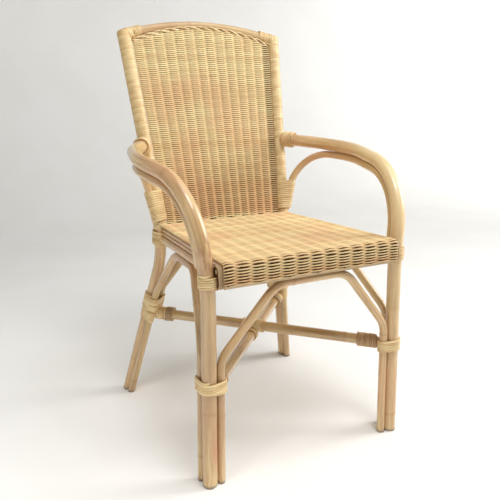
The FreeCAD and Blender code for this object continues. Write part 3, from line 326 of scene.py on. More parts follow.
def line_mesh(points, bends=()):
    """Starting line of a tree: corner points, each with the radius it is bent to."""
    mesh = bpy.data.meshes.new("line")
    mesh.from_pydata([tuple(point) for point in points], [(i, i + 1) for i in range(len(points) - 1)], [])
    radii = [0.0] + list(bends) + [0.0] * (len(points) - 1 - len(bends))
    mesh.attributes.new("bend", "FLOAT", "POINT").data.foreach_set("value", radii)
    return mesh


def loops_mesh(loops):
    """Starting outlines of a winding, each a closed loop of points."""
    mesh = bpy.data.meshes.new("loops")
    edges = []
    for loop in loops:
        first = len(edges)
        edges += [(first + i, first + (i + 1) % len(loop)) for i in range(len(loop))]
    mesh.from_pydata([tuple(point) for loop in loops for point in loop], edges, [])
    return mesh


def grow(name, tree, start, finish, sizes):
    """Runs a tree on its starting mesh and keeps the result as a plain mesh piece."""
    piece = bpy.data.objects.new(name, start)
    bpy.context.scene.collection.objects.link(piece)
    build = piece.modifiers.new("build", "NODES")
    build.node_group = tree
    for item in tree.interface.items_tree:
        if item.in_out == "INPUT" and item.name in sizes:
            build[item.identifier] = sizes[item.name]
        if item.in_out == "INPUT" and item.name == "Finish":
            build[item.identifier] = finish
    graph = bpy.context.evaluated_depsgraph_get()
    mesh = bpy.data.meshes.new_from_object(piece.evaluated_get(graph), preserve_all_data_layers=True,
                                           depsgraph=graph)
    piece.modifiers.remove(build)
    piece.data = mesh
    mesh.name = name
    bpy.data.meshes.remove(start)
    return piece


# Finishes


def shade(red, green, blue):
    """Linear colour of a shade given in everyday 0-255 steps."""
    def linear(step):
        step /= 255
        return step / 12.92 if step <= 0.04045 else ((step + 0.055) / 1.055) ** 2.4
    return (linear(red), linear(green), linear(blue), 1.0)


class FinishBench(NodeBench):
    """A material tree around one surface shader."""

    def __init__(self, name, **constants):
        self.material = bpy.data.materials.new(name)
        self.material.use_nodes = True
        super().__init__(self.material.node_tree)
        self.surface = self.tree.nodes["Principled BSDF"]
        for label, value in constants.items():
            self.surface.inputs[label.replace("_", " ")].default_value = value

    def attribute(self, label, vector=False):
        return self.add("ShaderNodeAttribute", attribute_name=label, out=1 if vector else 2)

    def own_place(self):
        return self.add("ShaderNodeTexCoord", out=3)

    def mix(self, share, first, second):
        return self.add("ShaderNodeMix", share, first, second, data_type="RGBA")

    def tint(self, tone, mask, share, colour):
        """Lays a colour over a tone where a mask shows it, up to a share."""
        return self.mix(self.math("MULTIPLY", mask, share), tone, colour)

    def to(self, label, value):
        self.tree.links.new(value, self.surface.inputs[label])

    def relief(self, height, depth):
        self.to("Normal", self.add("ShaderNodeBump", 0.8, depth, height))

    def near(self, place, centre, stretch, low, high):
        """Share that is 1 at a place on the object and fades out around it."""
        gap = self.vector("MULTIPLY", self.vector("SUBTRACT", place, centre), stretch)
        return self.ease(self.vector("LENGTH", gap), low, high, 1.0, 0.0)


def pole_finish(name, tan, pale):
    """Peeled rattan under clear lacquer: fine lengthwise fibre, rings, blush marks and feet greyed towards
    the floor.
    """
    f = FinishBench(name, Coat_Weight=0.75, Coat_Roughness=0.15, IOR=1.5)
    lay, ring, reach = f.attribute("lay", True), f.attribute("ring"), f.attribute("reach")
    place = f.own_place()
    level = f.split(place, "Z")

    def along(around, length):
        return f.vector("MULTIPLY", lay, (around, around, length))

    streak = f.noise(along(1.6, 9.0), 1.0, 4.0, 0.6)
    fibre = f.noise(along(9.0, 22.0), 1.0, 3.0, 0.65)
    blotch = f.noise(place, 4.5, 2.0, 0.5)
    fleck = f.noise(along(7.0, 150.0), 1.0, 2.0, 0.5)
    tone = f.mix(f.ease(streak, 0.3, 0.72), tan, pale)
    rosy = f.math("MULTIPLY", f.ease(blotch, 0.5, 0.66), f.ease(level, 0.6, 0.8, 0.5, 0.1))
    tone = f.mix(rosy, tone, shade(220, 164, 122))
    tone = f.tint(tone, f.ease(blotch, 0.34, 0.48, 1.0, 0.0), 0.5, shade(206, 180, 124))
    tone = f.tint(tone, reach, 0.22, shade(232, 202, 150))
    tone = f.tint(tone, f.ease(fibre, 0.52, 0.8), 0.5, shade(162, 116, 76))
    tone = f.tint(tone, f.ease(fleck, 0.7, 0.8), 0.35, shade(120, 80, 50))
    tone = f.tint(tone, ring, 0.4, shade(176, 128, 84))

    stain_above_seat, blush_by_foot = (-0.214, -0.252, 0.462), (-0.210, -0.252, 0.085)
    dark_patch_on_leg, pale_patch_on_arm = (-0.219, -0.238, 0.24), (0.236, -0.18, 0.53)
    stain = f.near(place, stain_above_seat, (1.0, 1.0, 0.7), 0.012, 0.042)
    stain = f.math("MULTIPLY", stain, f.ease(f.noise(along(2.5, 60.0), 1.0, 3.0), 0.36, 0.6))
    tone = f.tint(tone, stain, 0.6, shade(158, 96, 58))
    blush = f.near(place, blush_by_foot, (1.0, 1.0, 0.28), 0.004, 0.02)
    tone = f.tint(tone, blush, f.ease(streak, 0.35, 0.6), shade(214, 150, 108))
    # A darker patch on the front left leg and a paler patch on the front of the right arm.
    dark_patch = f.near(place, dark_patch_on_leg, (1.0, 1.0, 0.25), 0.02, 0.065)
    tone = f.tint(tone, dark_patch, 0.55, shade(168, 132, 92))
    pale_patch = f.near(place, pale_patch_on_arm, (1.0, 0.5, 0.5), 0.03, 0.14)
    tone = f.tint(tone, pale_patch, 0.7, shade(252, 226, 172))
    # The feet turn grey-brown in their last few millimetres above the floor.
    foot = f.ease(level, 0.002, 0.009, 0.75, 0.0)
    f.to("Base Color", f.mix(foot, tone, shade(120, 104, 88)))
    f.to("Roughness", f.ease(fibre, 0.3, 0.75, 0.3, 0.46))
    f.relief(f.math("ADD", f.math("MULTIPLY", fibre, 0.5), f.math("MULTIPLY", ring, 1.2)), 0.0004)
    return f.material


def strand_finish(name, pale, tan, dark, gloss):
    """Split cane strand: fibre along its length, seams darker at its two edges, each turn its own tone."""
    f = FinishBench(name, Coat_Weight=0.12, Coat_Roughness=0.25, IOR=1.48)
    run, turn, across = f.attribute("run"), f.attribute("turn"), f.attribute("across")
    lengthwise = f.join(f.math("MULTIPLY", run, 40.0), f.math("MULTIPLY", across, 5.0), turn)
    fibre = f.noise(lengthwise, 1.0, 3.0, 0.6)
    own = f.noise(f.math("ADD", turn, f.math("MULTIPLY", run, 0.8)), 1.3, 2.0)
    tone = f.mix(f.ease(own, 0.32, 0.68), tan, pale)
    tone = f.tint(tone, f.ease(fibre, 0.5, 0.78), 0.4, dark)
    edge = f.ease(f.math("ABSOLUTE", across), 0.72, 1.0, 0.0, 0.45)
    f.to("Base Color", f.mix(edge, tone, dark))
    f.to("Roughness", f.ease(fibre, 0.3, 0.7, gloss, gloss + 0.16))
    f.relief(fibre, 0.0003)
    return f.material


def weave_finish(name, tan, pale, row_share, low_share, flat_share, edge_shade_share):
    """Woven core strand: rows of near tones, blush patches, shadowed slits beside the stakes.

    The row share is how far tones go by whole rows, the low share browns a panel towards its foot, partly as
    the strands' own tone and partly as painted shade, the flat share is how much of the painted slit shade
    shows on a level run, and the edge shade share how much painted shade darkens the right edge.
    """
    f = FinishBench(name, IOR=1.47, Specular_IOR_Level=0.15)
    place = f.own_place()
    tone_of_row, face, outer, across, beat, row, rim = [
        f.attribute(label) for label in ("tone", "face", "outer", "across", "beat", "row", "rim")]
    along = f.noise(f.join(f.math("MULTIPLY", beat, 0.7), f.math("MULTIPLY", row, 0.5), 0.0), 1.0, 2.0)
    fibre = f.noise(f.join(f.math("MULTIPLY", beat, 9.0), f.math("MULTIPLY", row, 3.1), 2.0), 1.0, 2.0)
    band = f.noise(f.math("MULTIPLY", row, 0.07), 1.0, 2.0)
    batch = f.chance(f.math("FLOOR", f.math("DIVIDE", row, 6.0)))
    patch = f.noise(place, 7.0, 2.0, 0.5)
    level, off_middle = f.split(place, "Z"), f.math("ABSOLUTE", across)
    above_seat = f.ease(level, 0.451, 0.456)

    mixed = f.math("ADD", f.math("MULTIPLY", f.math("ADD", tone_of_row, batch), row_share / 2),
                   f.math("MULTIPLY", along, 1.0 - row_share))
    tone = f.mix(f.ease(mixed, 0.3, 0.7), tan, pale)
    tone = f.tint(tone, f.ease(band, 0.45, 0.7), 0.35, shade(250, 236, 184))
    tone = f.tint(tone, f.ease(tone_of_row, 0.8, 0.84), row_share * 0.5, shade(204, 152, 106))
    tone = f.tint(tone, f.ease(patch, 0.47, 0.68), 0.5, shade(227, 180, 136))
    tone = f.tint(tone, f.ease(fibre, 0.55, 0.8), 0.22, shade(186, 142, 94))
    # Towards the foot of the back and down the apron the strands turn browner: partly their own tone, partly
    # painted shade.
    low = f.math("MULTIPLY", f.ease(level, 0.46, 0.68, low_share, 0.0), f.ease(level, 0.45, 0.456))
    low = f.math("ADD", low, f.ease(level, 0.42, 0.445, 0.4, 0.0))
    tone = f.mix(low, tone, shade(206, 154, 106))

    # Painted shade in the slits beside the stakes: strands darkened on their inner sides where they pass
    # behind, and at their edges away from the crossings; darkest and widest low on the back.
    shown = f.math("MAXIMUM", f.ease(level, 0.436, 0.444, 1.0, flat_share), above_seat)
    slit_shade_colour = f.mix(f.ease(level, 0.46, 0.62), shade(62, 26, 3), shade(112, 78, 38))
    hollow_shade = f.ease(f.math("MULTIPLY", f.math("MULTIPLY", face, outer), -1.0), 0.05, 0.7, 0.0, 0.97)
    off_cross = f.ease(f.math("ABSOLUTE", face), 0.3, 0.7)
    loose = f.math("MULTIPLY", f.ease(level, 0.46, 0.66, 0.18, 0.0), above_seat)
    slit_shade = f.math("MULTIPLY", f.ease(f.math("ADD", off_middle, loose), 0.55, 0.85), off_cross)
    slit_shade = f.math("MAXIMUM", hollow_shade, f.math("MULTIPLY", slit_shade, 0.8))
    tone = f.tint(tone, slit_shade, shown, slit_shade_colour)
    # Painted shade along the right edge of the back, where the strands turn beside the post.
    edge = f.math("MULTIPLY", f.ease(off_middle, 0.4, 0.8), f.ease(rim, -0.5, -0.3))
    tone = f.tint(tone, edge, edge_shade_share, shade(60, 30, 4))
    f.to("Base Color", tone)
    f.to("Roughness", f.ease(fibre, 0.3, 0.7, 0.42, 0.58))
    f.relief(fibre, 0.0002)
    return f.material


def twist_finish():
    """Twisted edging strand: pale core, painted shade in the hollows between its two strands."""
    f = FinishBench("twisted_core", IOR=1.47)
    depth, run, strand = f.attribute("depth"), f.attribute("run"), f.attribute("tone")
    fibre = f.noise(f.join(f.math("MULTIPLY", run, 90.0), depth, strand), 1.0, 3.0, 0.6)
    tone = f.mix(f.ease(fibre, 0.35, 0.7), shade(238, 214, 164), shade(206, 168, 118))
    # Painted shade where the two strands meet.
    hollow_shade = f.ease(depth, 0.2, 0.55, 0.95, 0.0)
    f.to("Base Color", f.mix(hollow_shade, tone, shade(64, 38, 14)))
    f.to("Roughness", f.ease(fibre, 0.3, 0.7, 0.42, 0.58))
    f.relief(fibre, 0.0002)
    return f.material


def stake_finish(name):
    """Unlacquered core inside the weave, painted dark brown as the shade where it shows between strands,
    with faint lengthwise fibre.
    """
    f = FinishBench(name, IOR=1.46, Specular_IOR_Level=0.05)
    place = f.own_place()
    fibre = f.noise(f.vector("MULTIPLY", place, (420.0, 30.0, 30.0)), 1.0, 3.0, 0.6)
    patch = f.noise(place, 14.0, 2.0)
    tone = f.mix(f.ease(patch, 0.3, 0.7), shade(84, 50, 20), shade(106, 68, 32))
    f.to("Base Color", f.tint(tone, f.ease(fibre, 0.5, 0.8), 0.4, shade(78, 50, 28)))
    f.to("Roughness", f.ease(fibre, 0.3, 0.7, 0.5, 0.65))
    f.relief(fibre, 0.0003)
    return f.material


LACQUER = pole_finish("lacquered_pole", shade(194, 150, 102), shade(235, 205, 152))
# A darker, more olive copy of the lacquered pole for the arches, crest and stretchers: partly their own
# olive tone, partly painted shade.
OLIVE_SHADED = pole_finish("lacquered_olive_pole", shade(174, 136, 92), shade(218, 188, 138))
BINDING = strand_finish("binding_cane", shade(240, 216, 164), shade(216, 178, 124), shade(158, 112, 68),
                        gloss=0.4)
PEEL = strand_finish("peel_wrap", shade(235, 210, 158), shade(216, 183, 129), shade(168, 124, 78),
                     gloss=0.34)
TWISTED = twist_finish()
AGED = strand_finish("aged_cane", shade(190, 164, 124), shade(166, 136, 98), shade(112, 82, 52), gloss=0.45)
# A darker, greyer cane for the front stretcher wraps, the seat's side edges and the strand at the foot of
# the back.
GREYER_CANE = strand_finish("worn_cane", shade(208, 174, 130), shade(184, 148, 106), shade(126, 90, 56), gloss=0.45)
WOVEN_BACK = weave_finish("woven_back", shade(221, 192, 141), shade(236, 217, 164),
                          row_share=0.38, low_share=0.5, flat_share=1.0, edge_shade_share=1.0)
WOVEN_SEAT = weave_finish("woven_seat", shade(226, 190, 139), shade(241, 219, 165),
                          row_share=0.85, low_share=0.0, flat_share=0.22, edge_shade_share=0.0)
SHADED_STAKE = stake_finish("stake_core")
SHADED_RAIL = stake_finish("bare_pole")


# Chair frame: sizes in millimetres, as in the part's source

# Corners of a leg with its arm, and of a post: half width, depth and height
LEG_LINE = [(221.0, 0, 0), (215.5, 0, 400), (233.5, 6, 578), (264, 215, 612), (240, 318, 620)]
POST_LINE = [(234, 485, 0), (162.5, 401, 350), (165.5, 375, 438), (198, 486, 885)]
FEET_TO_MIDDLE = 238.25
ARM_END_HEIGHT = 629

# Radii of the poles
LEG, POST, CREST, STRETCHER, ARCH = 14.5, 13.5, 11.5, 11.5, 8.5
RAIL, FRONT_LOWER_RAIL, REAR_LOWER_RAIL, STRIP = 9.0, 11.0, 10.0, 4.5

# Seat rails: depth and height, then half lengths and the half widths between the side rails' ends
FRONT_RAIL, FRONT_LOWER = (-14.7, 430.7), (-12.7, 410.4)
REAR_RAIL, REAR_LOWER = (376.4, 433.2), (382.1, 413.9)
FRONT_REACH, REAR_REACH = 205.8, 158
SIDE_FRONT_HALF, SIDE_REAR_HALF = 186, 163

# Gaps between the axes of poles that run side by side; the brace leans away from the post
LEG_TO_ARCH, REAR_TO_ARCH, ARM_TO_BRACE = 23.3, 22.3, 23.3
POST_TO_BRACE, POST_TO_BRACE_HEIGHT, BRACE_LEAN = 24.1, 518, 13.1 / 62

# Heights of the side rails, the strips on them and the strand beside the weave
SIDE_RAIL_HEIGHT, LOWER_STRIP_HEIGHT, UPPER_STRIP_HEIGHT, SIDE_EDGE_HEIGHT = 411, 424.8, 434.1, 440.6

# Places on the post: top of the binding below the rail and foot of its peel; half width of the rail wraps
RAIL_BINDING_TOP, POST_FOOT, RAIL_WRAP_HALF = (165.5, 377.25, 435.1), (165.5, 376.4, 434.5), 194

# Heights of the joints
FRONT_CLUSTER, REAR_CLUSTER, REAR_BAND = 194, 234, 206
LEG_BINDING, RAIL_BINDING, BRACE_WRAP, POST_WRAP = 397.5, 397, 452, 456
BRACE_FOOT, BRACE_BEND, BRACE_END = 456, 596, 428
CREST_HEIGHT, POST_CAP_LOW, POST_CAP_TOP = 873, 868, 886

# Arches: knees and tops; each side arch has its own front knee height and depth where its flat top starts
SIDE_ARCH_FRONT = {-1: (285, 160), 1: (270, 131)}
SIDE_ARCH_TOP, SIDE_ARCH_FLAT_END, SIDE_ARCH_REAR_KNEE = 393.2, 280, 278
FRONT_ARCH_KNEE, FRONT_ARCH_HALF, FRONT_ARCH_TOP = 255, 80, 390.6
REAR_ARCH_KNEE, REAR_ARCH_HALF, REAR_ARCH_TOP = 282, 75, 395.1

# Crest: rise of its middle, and how far past that the corner of its bend lies
CREST_BOW, CREST_CORNER = Vector((0, 16, 28)), 2.056

# Stretchers: the side of the rear end, then the heights of the rear and front ends
STRETCHERS = {"upper": (-1, 219, 207), "lower": (1, 203, 191)}


def at(half, depth, height):
    """Point from its offset from the middle plane, depth behind the front feet and height, in mm."""
    return Vector((half, depth - FEET_TO_MIDDLE, height)) * MM


def beside_middle(side, place):
    """Point at a half width, depth and height on one side of the middle plane."""
    half, depth, height = place
    return at(side * half, depth, height)


def between(start, end, share):
    return start + (end - start) * share


def at_height(start, end, height):
    return between(start, end, (height * MM - start.z) / (end.z - start.z))


def leg_corners(side):
    bent = [beside_middle(side, corner) for corner in LEG_LINE]
    return bent + [post_axis(side, ARM_END_HEIGHT)]


def post_corners(side):
    return [beside_middle(side, corner) for corner in POST_LINE]


def leg_axis(side, height):
    return at_height(*leg_corners(side)[:2], height)


def rear_axis(side, height):
    return at_height(*post_corners(side)[:2], height)


def knee_axis(side, height):
    return at_height(*post_corners(side)[1:3], height)


def post_axis(side, height):
    return at_height(*post_corners(side)[2:], height)


POLE = pole_tree()
WINDING = winding_tree()
WEAVE = weave_tree()
TWIST = twist_tree()
pieces = {}
seeds = iter(range(1, 200))


def pole(node, corners, radius, bends=(), level_feet=False, finish=LACQUER, step=6.0, round_end=0.0):
    """Bent pole, kept under its node's name; level feet are cut off at the floor."""
    foot_spare, thick_radius = 0.006, 6.0
    corners = list(corners)
    if level_feet:
        for end, inner in ((0, 1), (-1, -2)):
            if corners[end].z < MM:
                corners[end] = corners[end] - (corners[inner] - corners[end]).normalized() * foot_spare
    seed = next(seeds)
    piece = grow(node + "_pole", POLE, line_mesh(corners, [bend * MM for bend in bends]), finish,
                 {"Radius": radius * MM, "Step": step * MM, "Sides": 20 if radius > thick_radius else 12,
                  "Ring spacing": 0.3 + 0.06 * math.sin(seed * 2.3), "Ring swell": 0.0004,
                  "Wander": 0.035, "Round end": round_end * MM, "Seed": float(seed)})
    if level_feet:
        cut_level(piece.data)
    pieces[node] = piece


def cut_level(mesh):
    """Cuts a foot at the floor and eases its lower edge."""
    sole_share = 0.9
    cutter = bmesh.new()
    cutter.from_mesh(mesh)
    parts = cutter.verts[:] + cutter.edges[:] + cutter.faces[:]
    cut = bmesh.ops.bisect_plane(cutter, geom=parts, plane_co=(0, 0, 0), plane_no=UP, clear_inner=True)
    rim = [edge for edge in cut["geom_cut"] if isinstance(edge, bmesh.types.BMEdge)]
    for face in bmesh.ops.holes_fill(cutter, edges=rim, sides=0)["faces"]:
        middle = face.calc_center_median()
        face.smooth = False
        face.material_index = 0
        for vert in face.verts:
            vert.co.xy = middle.xy + (vert.co.xy - middle.xy) * sole_share
    bmesh.ops.recalc_face_normals(cutter, faces=cutter.faces)
    cutter.to_mesh(mesh)
    cutter.free()


def bulge(first, second, third):
    """How far three flat points turn to the left, as an area."""
    return (second[0] - first[0]) * (third[1] - first[1]) - (second[1] - first[1]) * (third[0] - first[0])


def outline_round(middle, along, centres, radii):
    """Closed outline that holds a set of circles, square to a direction."""
    circle_steps, straight = 48, 1e-12
    turn = along.to_track_quat("Z", "Y").to_matrix()
    flat = []
    for centre, radius in zip(centres, radii):
        local = turn.transposed() @ (centre - middle)
        for step in range(circle_steps):
            angle = step * math.tau / circle_steps
            flat.append((local.x + radius * math.cos(angle), local.y + radius * math.sin(angle)))
    flat.sort()
    chains = []
    for ordered in (flat, flat[::-1]):
        chain = []
        for spot in ordered:
            while len(chain) > 1 and bulge(*chain[-2:], spot) <= straight:
                chain.pop()
            chain.append(spot)
        chains.append(chain[:-1])
    return [middle + turn @ Vector((x, y, 0)) for x, y in chains[0] + chains[1]]


def binding(node, base, along, held, turns, pitch, width, thickness, square=1.0, uneven=0.25, finish=BINDING,
            steps=28, sides=8, held_last=None):
    """Winding round the poles it holds: pairs of a point on each axis and the pole's radius in mm."""
    clear = 0.3
    along = along.normalized()
    loops = []
    for poles in (held, held_last or held):
        radii = [(radius + clear + thickness / 2) * MM for _, radius in poles]
        loops.append(outline_round(base, along, [centre for centre, _ in poles], radii))
    middle = sum((centre for centre, _ in held), Vector()) / len(held)
    piece = grow(node + "_cane", WINDING, loops_mesh(loops), finish,
                 {"Turns": float(turns), "Pitch": pitch * MM, "Width": width * MM,
                  "Thickness": thickness * MM, "Square": square, "Steps": steps, "Sides": sides,
                  "Along": along, "Middle": middle, "Unevenness": uneven, "Seed": float(next(seeds))})
    pieces[node] = piece


def side_line(side, height):
    ends = (SIDE_FRONT_HALF, FRONT_RAIL[0]), (SIDE_REAR_HALF, REAR_LOWER[0])
    return [at(side * half, depth, height) for half, depth in ends]


def brace_spot(side, height):
    """Point of the brace's lower run, which leans away from the post, square to a height on the post."""
    along = (post_corners(side)[3] - post_corners(side)[2]).normalized()
    out = Vector((side, -1, 0)).normalized()
    offset = POST_TO_BRACE + (height - POST_TO_BRACE_HEIGHT) * BRACE_LEAN
    return post_axis(side, height) + (out - along * out.dot(along)).normalized() * offset * MM


def brace_corners(side):
    leg = leg_corners(side)
    reach = ARM_TO_BRACE * MM
    below = []
    meet = between(leg[4], leg[3], 0.5)
    for corner, run in ((meet, leg[3] - leg[4]), (leg[3], leg[2] - leg[4])):
        along = run.normalized()
        below.append(corner + (along * along.z - UP).normalized() * reach)
    arm_run, leg_run = (leg[3] - leg[2]).normalized(), (leg[1] - leg[2]).normalized()
    inner = leg[2] + (arm_run + leg_run).normalized() * (reach / math.sin(arm_run.angle(leg_run) / 2))
    share = (BRACE_END * MM - inner.z) / leg_run.z
    foot, bend = brace_spot(side, BRACE_FOOT), brace_spot(side, BRACE_BEND)
    return [foot, bend, *below, inner, inner + leg_run * share]


def front_arch_leg(side, height):
    return leg_axis(side, height) - Vector((side * LEG_TO_ARCH * MM, 0, 0))


def rear_arch_leg(side, height):
    along = (post_corners(side)[1] - post_corners(side)[0]).normalized()
    return rear_axis(side, height) - Vector((side * REAR_TO_ARCH * MM, 0, 0)) / math.sqrt(1 - along.x ** 2)


def side_arch_rear(side, height):
    along = (post_corners(side)[1] - post_corners(side)[0]).normalized()
    return rear_axis(side, height) - Vector((0, REAR_TO_ARCH * MM, 0)) / math.sqrt(1 - along.y ** 2)


def side_arch_corners(side):
    out, foot_out, foot_back = 5, 6, 26
    knee, flat = SIDE_ARCH_FRONT[side]
    foot = leg_axis(side, 0) + Vector((side * foot_out, foot_back, 0)) * MM
    beside = Vector((side * out, math.sqrt(LEG_TO_ARCH ** 2 - out ** 2), 0)) * MM
    front, rear = FRONT_RAIL[0], REAR_LOWER[0]
    tops = [between(*side_line(side, SIDE_ARCH_TOP), (depth - front) / (rear - front))
            for depth in (flat, SIDE_ARCH_FLAT_END)]
    return [foot, leg_axis(side, knee) + beside, *tops,
            side_arch_rear(side, SIDE_ARCH_REAR_KNEE), side_arch_rear(side, 0)]


def mirrored(points):
    return points + [Vector((-point.x, point.y, point.z)) for point in reversed(points)]


for name, side in SIDES.items():
    pole(f"back_post_{name}", post_corners(side), POST, bends=[220, 60], level_feet=True)
    arm = leg_corners(side)
    arm[-1] = arm[-1] + (arm[-2] - arm[-1]).normalized() * 6 * MM
    pole(f"front_leg_arm_{name}", arm, LEG, bends=[800, 150, 180, 70], level_feet=True)
    pole(f"arm_brace_{name}", brace_corners(side), ARCH, bends=[102, 60, 180, 126.7])
    pole(f"side_arch_{name}", side_arch_corners(side), ARCH, bends=[70, 70, 50, 50], level_feet=True,
         finish=OLIVE_SHADED)
    pole(f"seat_side_rail_{name}", side_line(side, SIDE_RAIL_HEIGHT), RAIL)
    pole(f"seat_side_strip_lower_{name}", side_line(side, LOWER_STRIP_HEIGHT), STRIP)
    pole(f"seat_side_strip_upper_{name}", side_line(side, UPPER_STRIP_HEIGHT), STRIP)
    pole(f"seat_side_edge_{name}", side_line(side, SIDE_EDGE_HEIGHT), 2.7, finish=GREYER_CANE)

crest_ends = [post_axis(side, CREST_HEIGHT) for side in (-1, 1)]
crest_apex = between(*crest_ends, 0.5) + CREST_BOW * MM * CREST_CORNER
pole("crest_rail", [crest_ends[0], crest_apex, crest_ends[1]], CREST, bends=[618.0], finish=OLIVE_SHADED)
# The front rails sit behind the apron and take the dark core finish: painted shade seen through its slits.
for label, reach, (depth, height), radius, finish in (
        ("seat_front_rail", FRONT_REACH, FRONT_RAIL, RAIL, SHADED_RAIL),
        ("seat_front_lower_rail", FRONT_REACH, FRONT_LOWER, FRONT_LOWER_RAIL, SHADED_RAIL),
        ("seat_rear_rail", REAR_REACH, REAR_RAIL, RAIL, LACQUER),
        ("seat_rear_lower_rail", REAR_REACH, REAR_LOWER, REAR_LOWER_RAIL, LACQUER)):
    pole(label, [at(-reach, depth, height), at(reach, depth, height)], radius, finish=finish)
front_arch_top = at(-FRONT_ARCH_HALF, FRONT_LOWER[0], FRONT_ARCH_TOP)
pole("front_arch", mirrored([front_arch_leg(-1, 0), front_arch_leg(-1, FRONT_ARCH_KNEE), front_arch_top]),
     ARCH, bends=[60] * 4, level_feet=True)
rear_arch_foot, rear_arch_knee = [rear_arch_leg(-1, height) for height in (REAR_CLUSTER, REAR_ARCH_KNEE)]
rear_arch_top = at(-REAR_ARCH_HALF, REAR_LOWER[0], REAR_ARCH_TOP)
pole("rear_arch", mirrored([rear_arch_foot, rear_arch_knee, rear_arch_top]), ARCH, bends=[45] * 4,
     finish=OLIVE_SHADED)
stretcher_ends = {}
for level, (rear_side, rear_height, front_height) in STRETCHERS.items():
    rear, front = rear_axis(rear_side, rear_height), leg_axis(-rear_side, front_height)
    run = (front - rear).normalized()
    stretcher_ends[level] = (rear, front)
    pole(f"cross_stretcher_{level}", [rear + run * 18 * MM, front - run * 24 * MM], STRETCHER, finish=OLIVE_SHADED)


# Bindings of cane round the joints


for name, side in SIDES.items():
    leg, post = leg_corners(side), post_corners(side)
    leg_up, rear_up = leg[1] - leg[0], post[1] - post[0]
    post_up = post[3] - post[2]
    post_run = post_up.normalized()

    base = leg_axis(side, LEG_BINDING)
    binding(f"leg_binding_{name}", base, leg_up, [(base, LEG + 0.5)],
            turns=6, pitch=4.3, width=4.4, thickness=4.2, square=0.8)

    base = leg_axis(side, FRONT_CLUSTER)
    beside = at_height(*side_arch_corners(side)[:2], FRONT_CLUSTER)
    binding(f"leg_wrap_front_{name}", base, leg_up,
            [(base, LEG), (front_arch_leg(side, FRONT_CLUSTER), ARCH), (beside, ARCH)],
            turns=5, pitch=5.0, width=5.1, thickness=4.0, square=0.55, uneven=0.15, steps=48)

    base = rear_axis(side, REAR_CLUSTER)
    arch_legs = side_arch_rear(side, REAR_CLUSTER), rear_arch_leg(side, REAR_CLUSTER)
    binding(f"leg_wrap_rear_{name}", base, rear_up, [(base, POST), *((spot, ARCH) for spot in arch_legs)],
            turns=7, pitch=5.0, width=5.3, thickness=4.0, square=0.4, uneven=0.1, steps=48)
    base = rear_axis(side, REAR_BAND)
    binding(f"leg_band_{name}", base, rear_up, [(base, POST), (side_arch_rear(side, REAR_BAND), ARCH)],
            turns=5, pitch=5.6, width=5.9, thickness=2.2, square=0.4, uneven=0.1, finish=PEEL, steps=40)

    base = knee_axis(side, RAIL_BINDING)
    bent = beside_middle(side, RAIL_BINDING_TOP) - base
    binding(f"rail_binding_{name}", base, bent, [(base, POST + 1.0)],
            turns=8, pitch=4.8, width=5.0, thickness=5.4, square=0.8, uneven=0.45, finish=PEEL)
    base = beside_middle(side, POST_FOOT)
    binding(f"post_foot_{name}", base, post_up, [(base, POST + 0.7)],
            turns=5, pitch=5.2, width=5.4, thickness=1.8, square=0.45, uneven=0.2, finish=PEEL)

    base, turns, pitch = post_axis(side, BRACE_WRAP), 14, 5.0
    rise = turns * pitch * MM
    brace_low = brace_spot(side, BRACE_WRAP)
    brace_high = brace_spot(side, BRACE_WRAP + post_run.z * rise / MM) - post_run * rise
    brace_high += (brace_high - base).normalized() * 3 * MM
    binding(f"brace_wrap_{name}", base, post_up, [(base, POST + 1.5), (brace_low, ARCH)],
            turns=turns, pitch=pitch, width=5.2, thickness=3.0, square=0.4, uneven=0.12, finish=PEEL,
            steps=40, held_last=[(base, POST + 1.5), (brace_high, ARCH)])

    base, pitch = post_axis(side, POST_WRAP), 6.4
    turns = (post[3] - base).length / (pitch * MM) - 2.2
    binding(f"post_wrap_{name}", base + post_run * 3 * MM, post_up, [(base, POST)],
            turns=turns, pitch=pitch, width=6.5, thickness=1.3, square=0.4, uneven=0.1, finish=PEEL,
            sides=10)

    run = leg[4] - leg[5]
    base = leg[5] + run.normalized() * 18 * MM
    binding(f"arm_binding_{name}", base, run, [(base, LEG)],
            turns=6, pitch=4.6, width=4.7, thickness=5.0, square=0.75)

    crest_end = crest_ends[side > 0]
    run = (crest_apex - crest_end).normalized()
    base = crest_end + run * 20 * MM
    binding(f"crest_binding_{name}", base, run, [(base, CREST)],
            turns=8, pitch=2.7, width=2.8, thickness=2.0, square=0.9, uneven=0.35)
    base = crest_end + run * 4 * MM
    binding(f"crest_sleeve_{name}", base, run, [(base, CREST + 1.9)],
            turns=3, pitch=5.8, width=6.2, thickness=1.6, square=0.4, uneven=0.1, finish=PEEL,
            held_last=[(base, CREST + 0.1)])
    cap = [post_axis(side, height) for height in (POST_CAP_LOW, POST_CAP_TOP)]
    pole(f"post_cap_{name}", cap, POST + 1.7, finish=PEEL, step=1.5, round_end=9)

    held = [(at(side * RAIL_WRAP_HALF, *rail), radius)
            for rail, radius in ((FRONT_RAIL, RAIL), (FRONT_LOWER, FRONT_LOWER_RAIL))]
    binding(f"front_rail_wrap_{name}", held[0][0], Vector((side, 0, 0)), held,
            turns=3, pitch=4.2, width=4.3, thickness=2.4, square=0.6, uneven=0.2, finish=AGED, steps=40)
    for label, rail, radius in (("upper", FRONT_RAIL, RAIL), ("lower", FRONT_LOWER, FRONT_LOWER_RAIL)):
        ends = [at(side * reach, *rail) for reach in (SIDE_FRONT_HALF, FRONT_REACH + 0.8)]
        pole(f"front_rail_end_{label}_{name}", ends, radius + 0.4, finish=AGED, step=2.0, round_end=2.5)

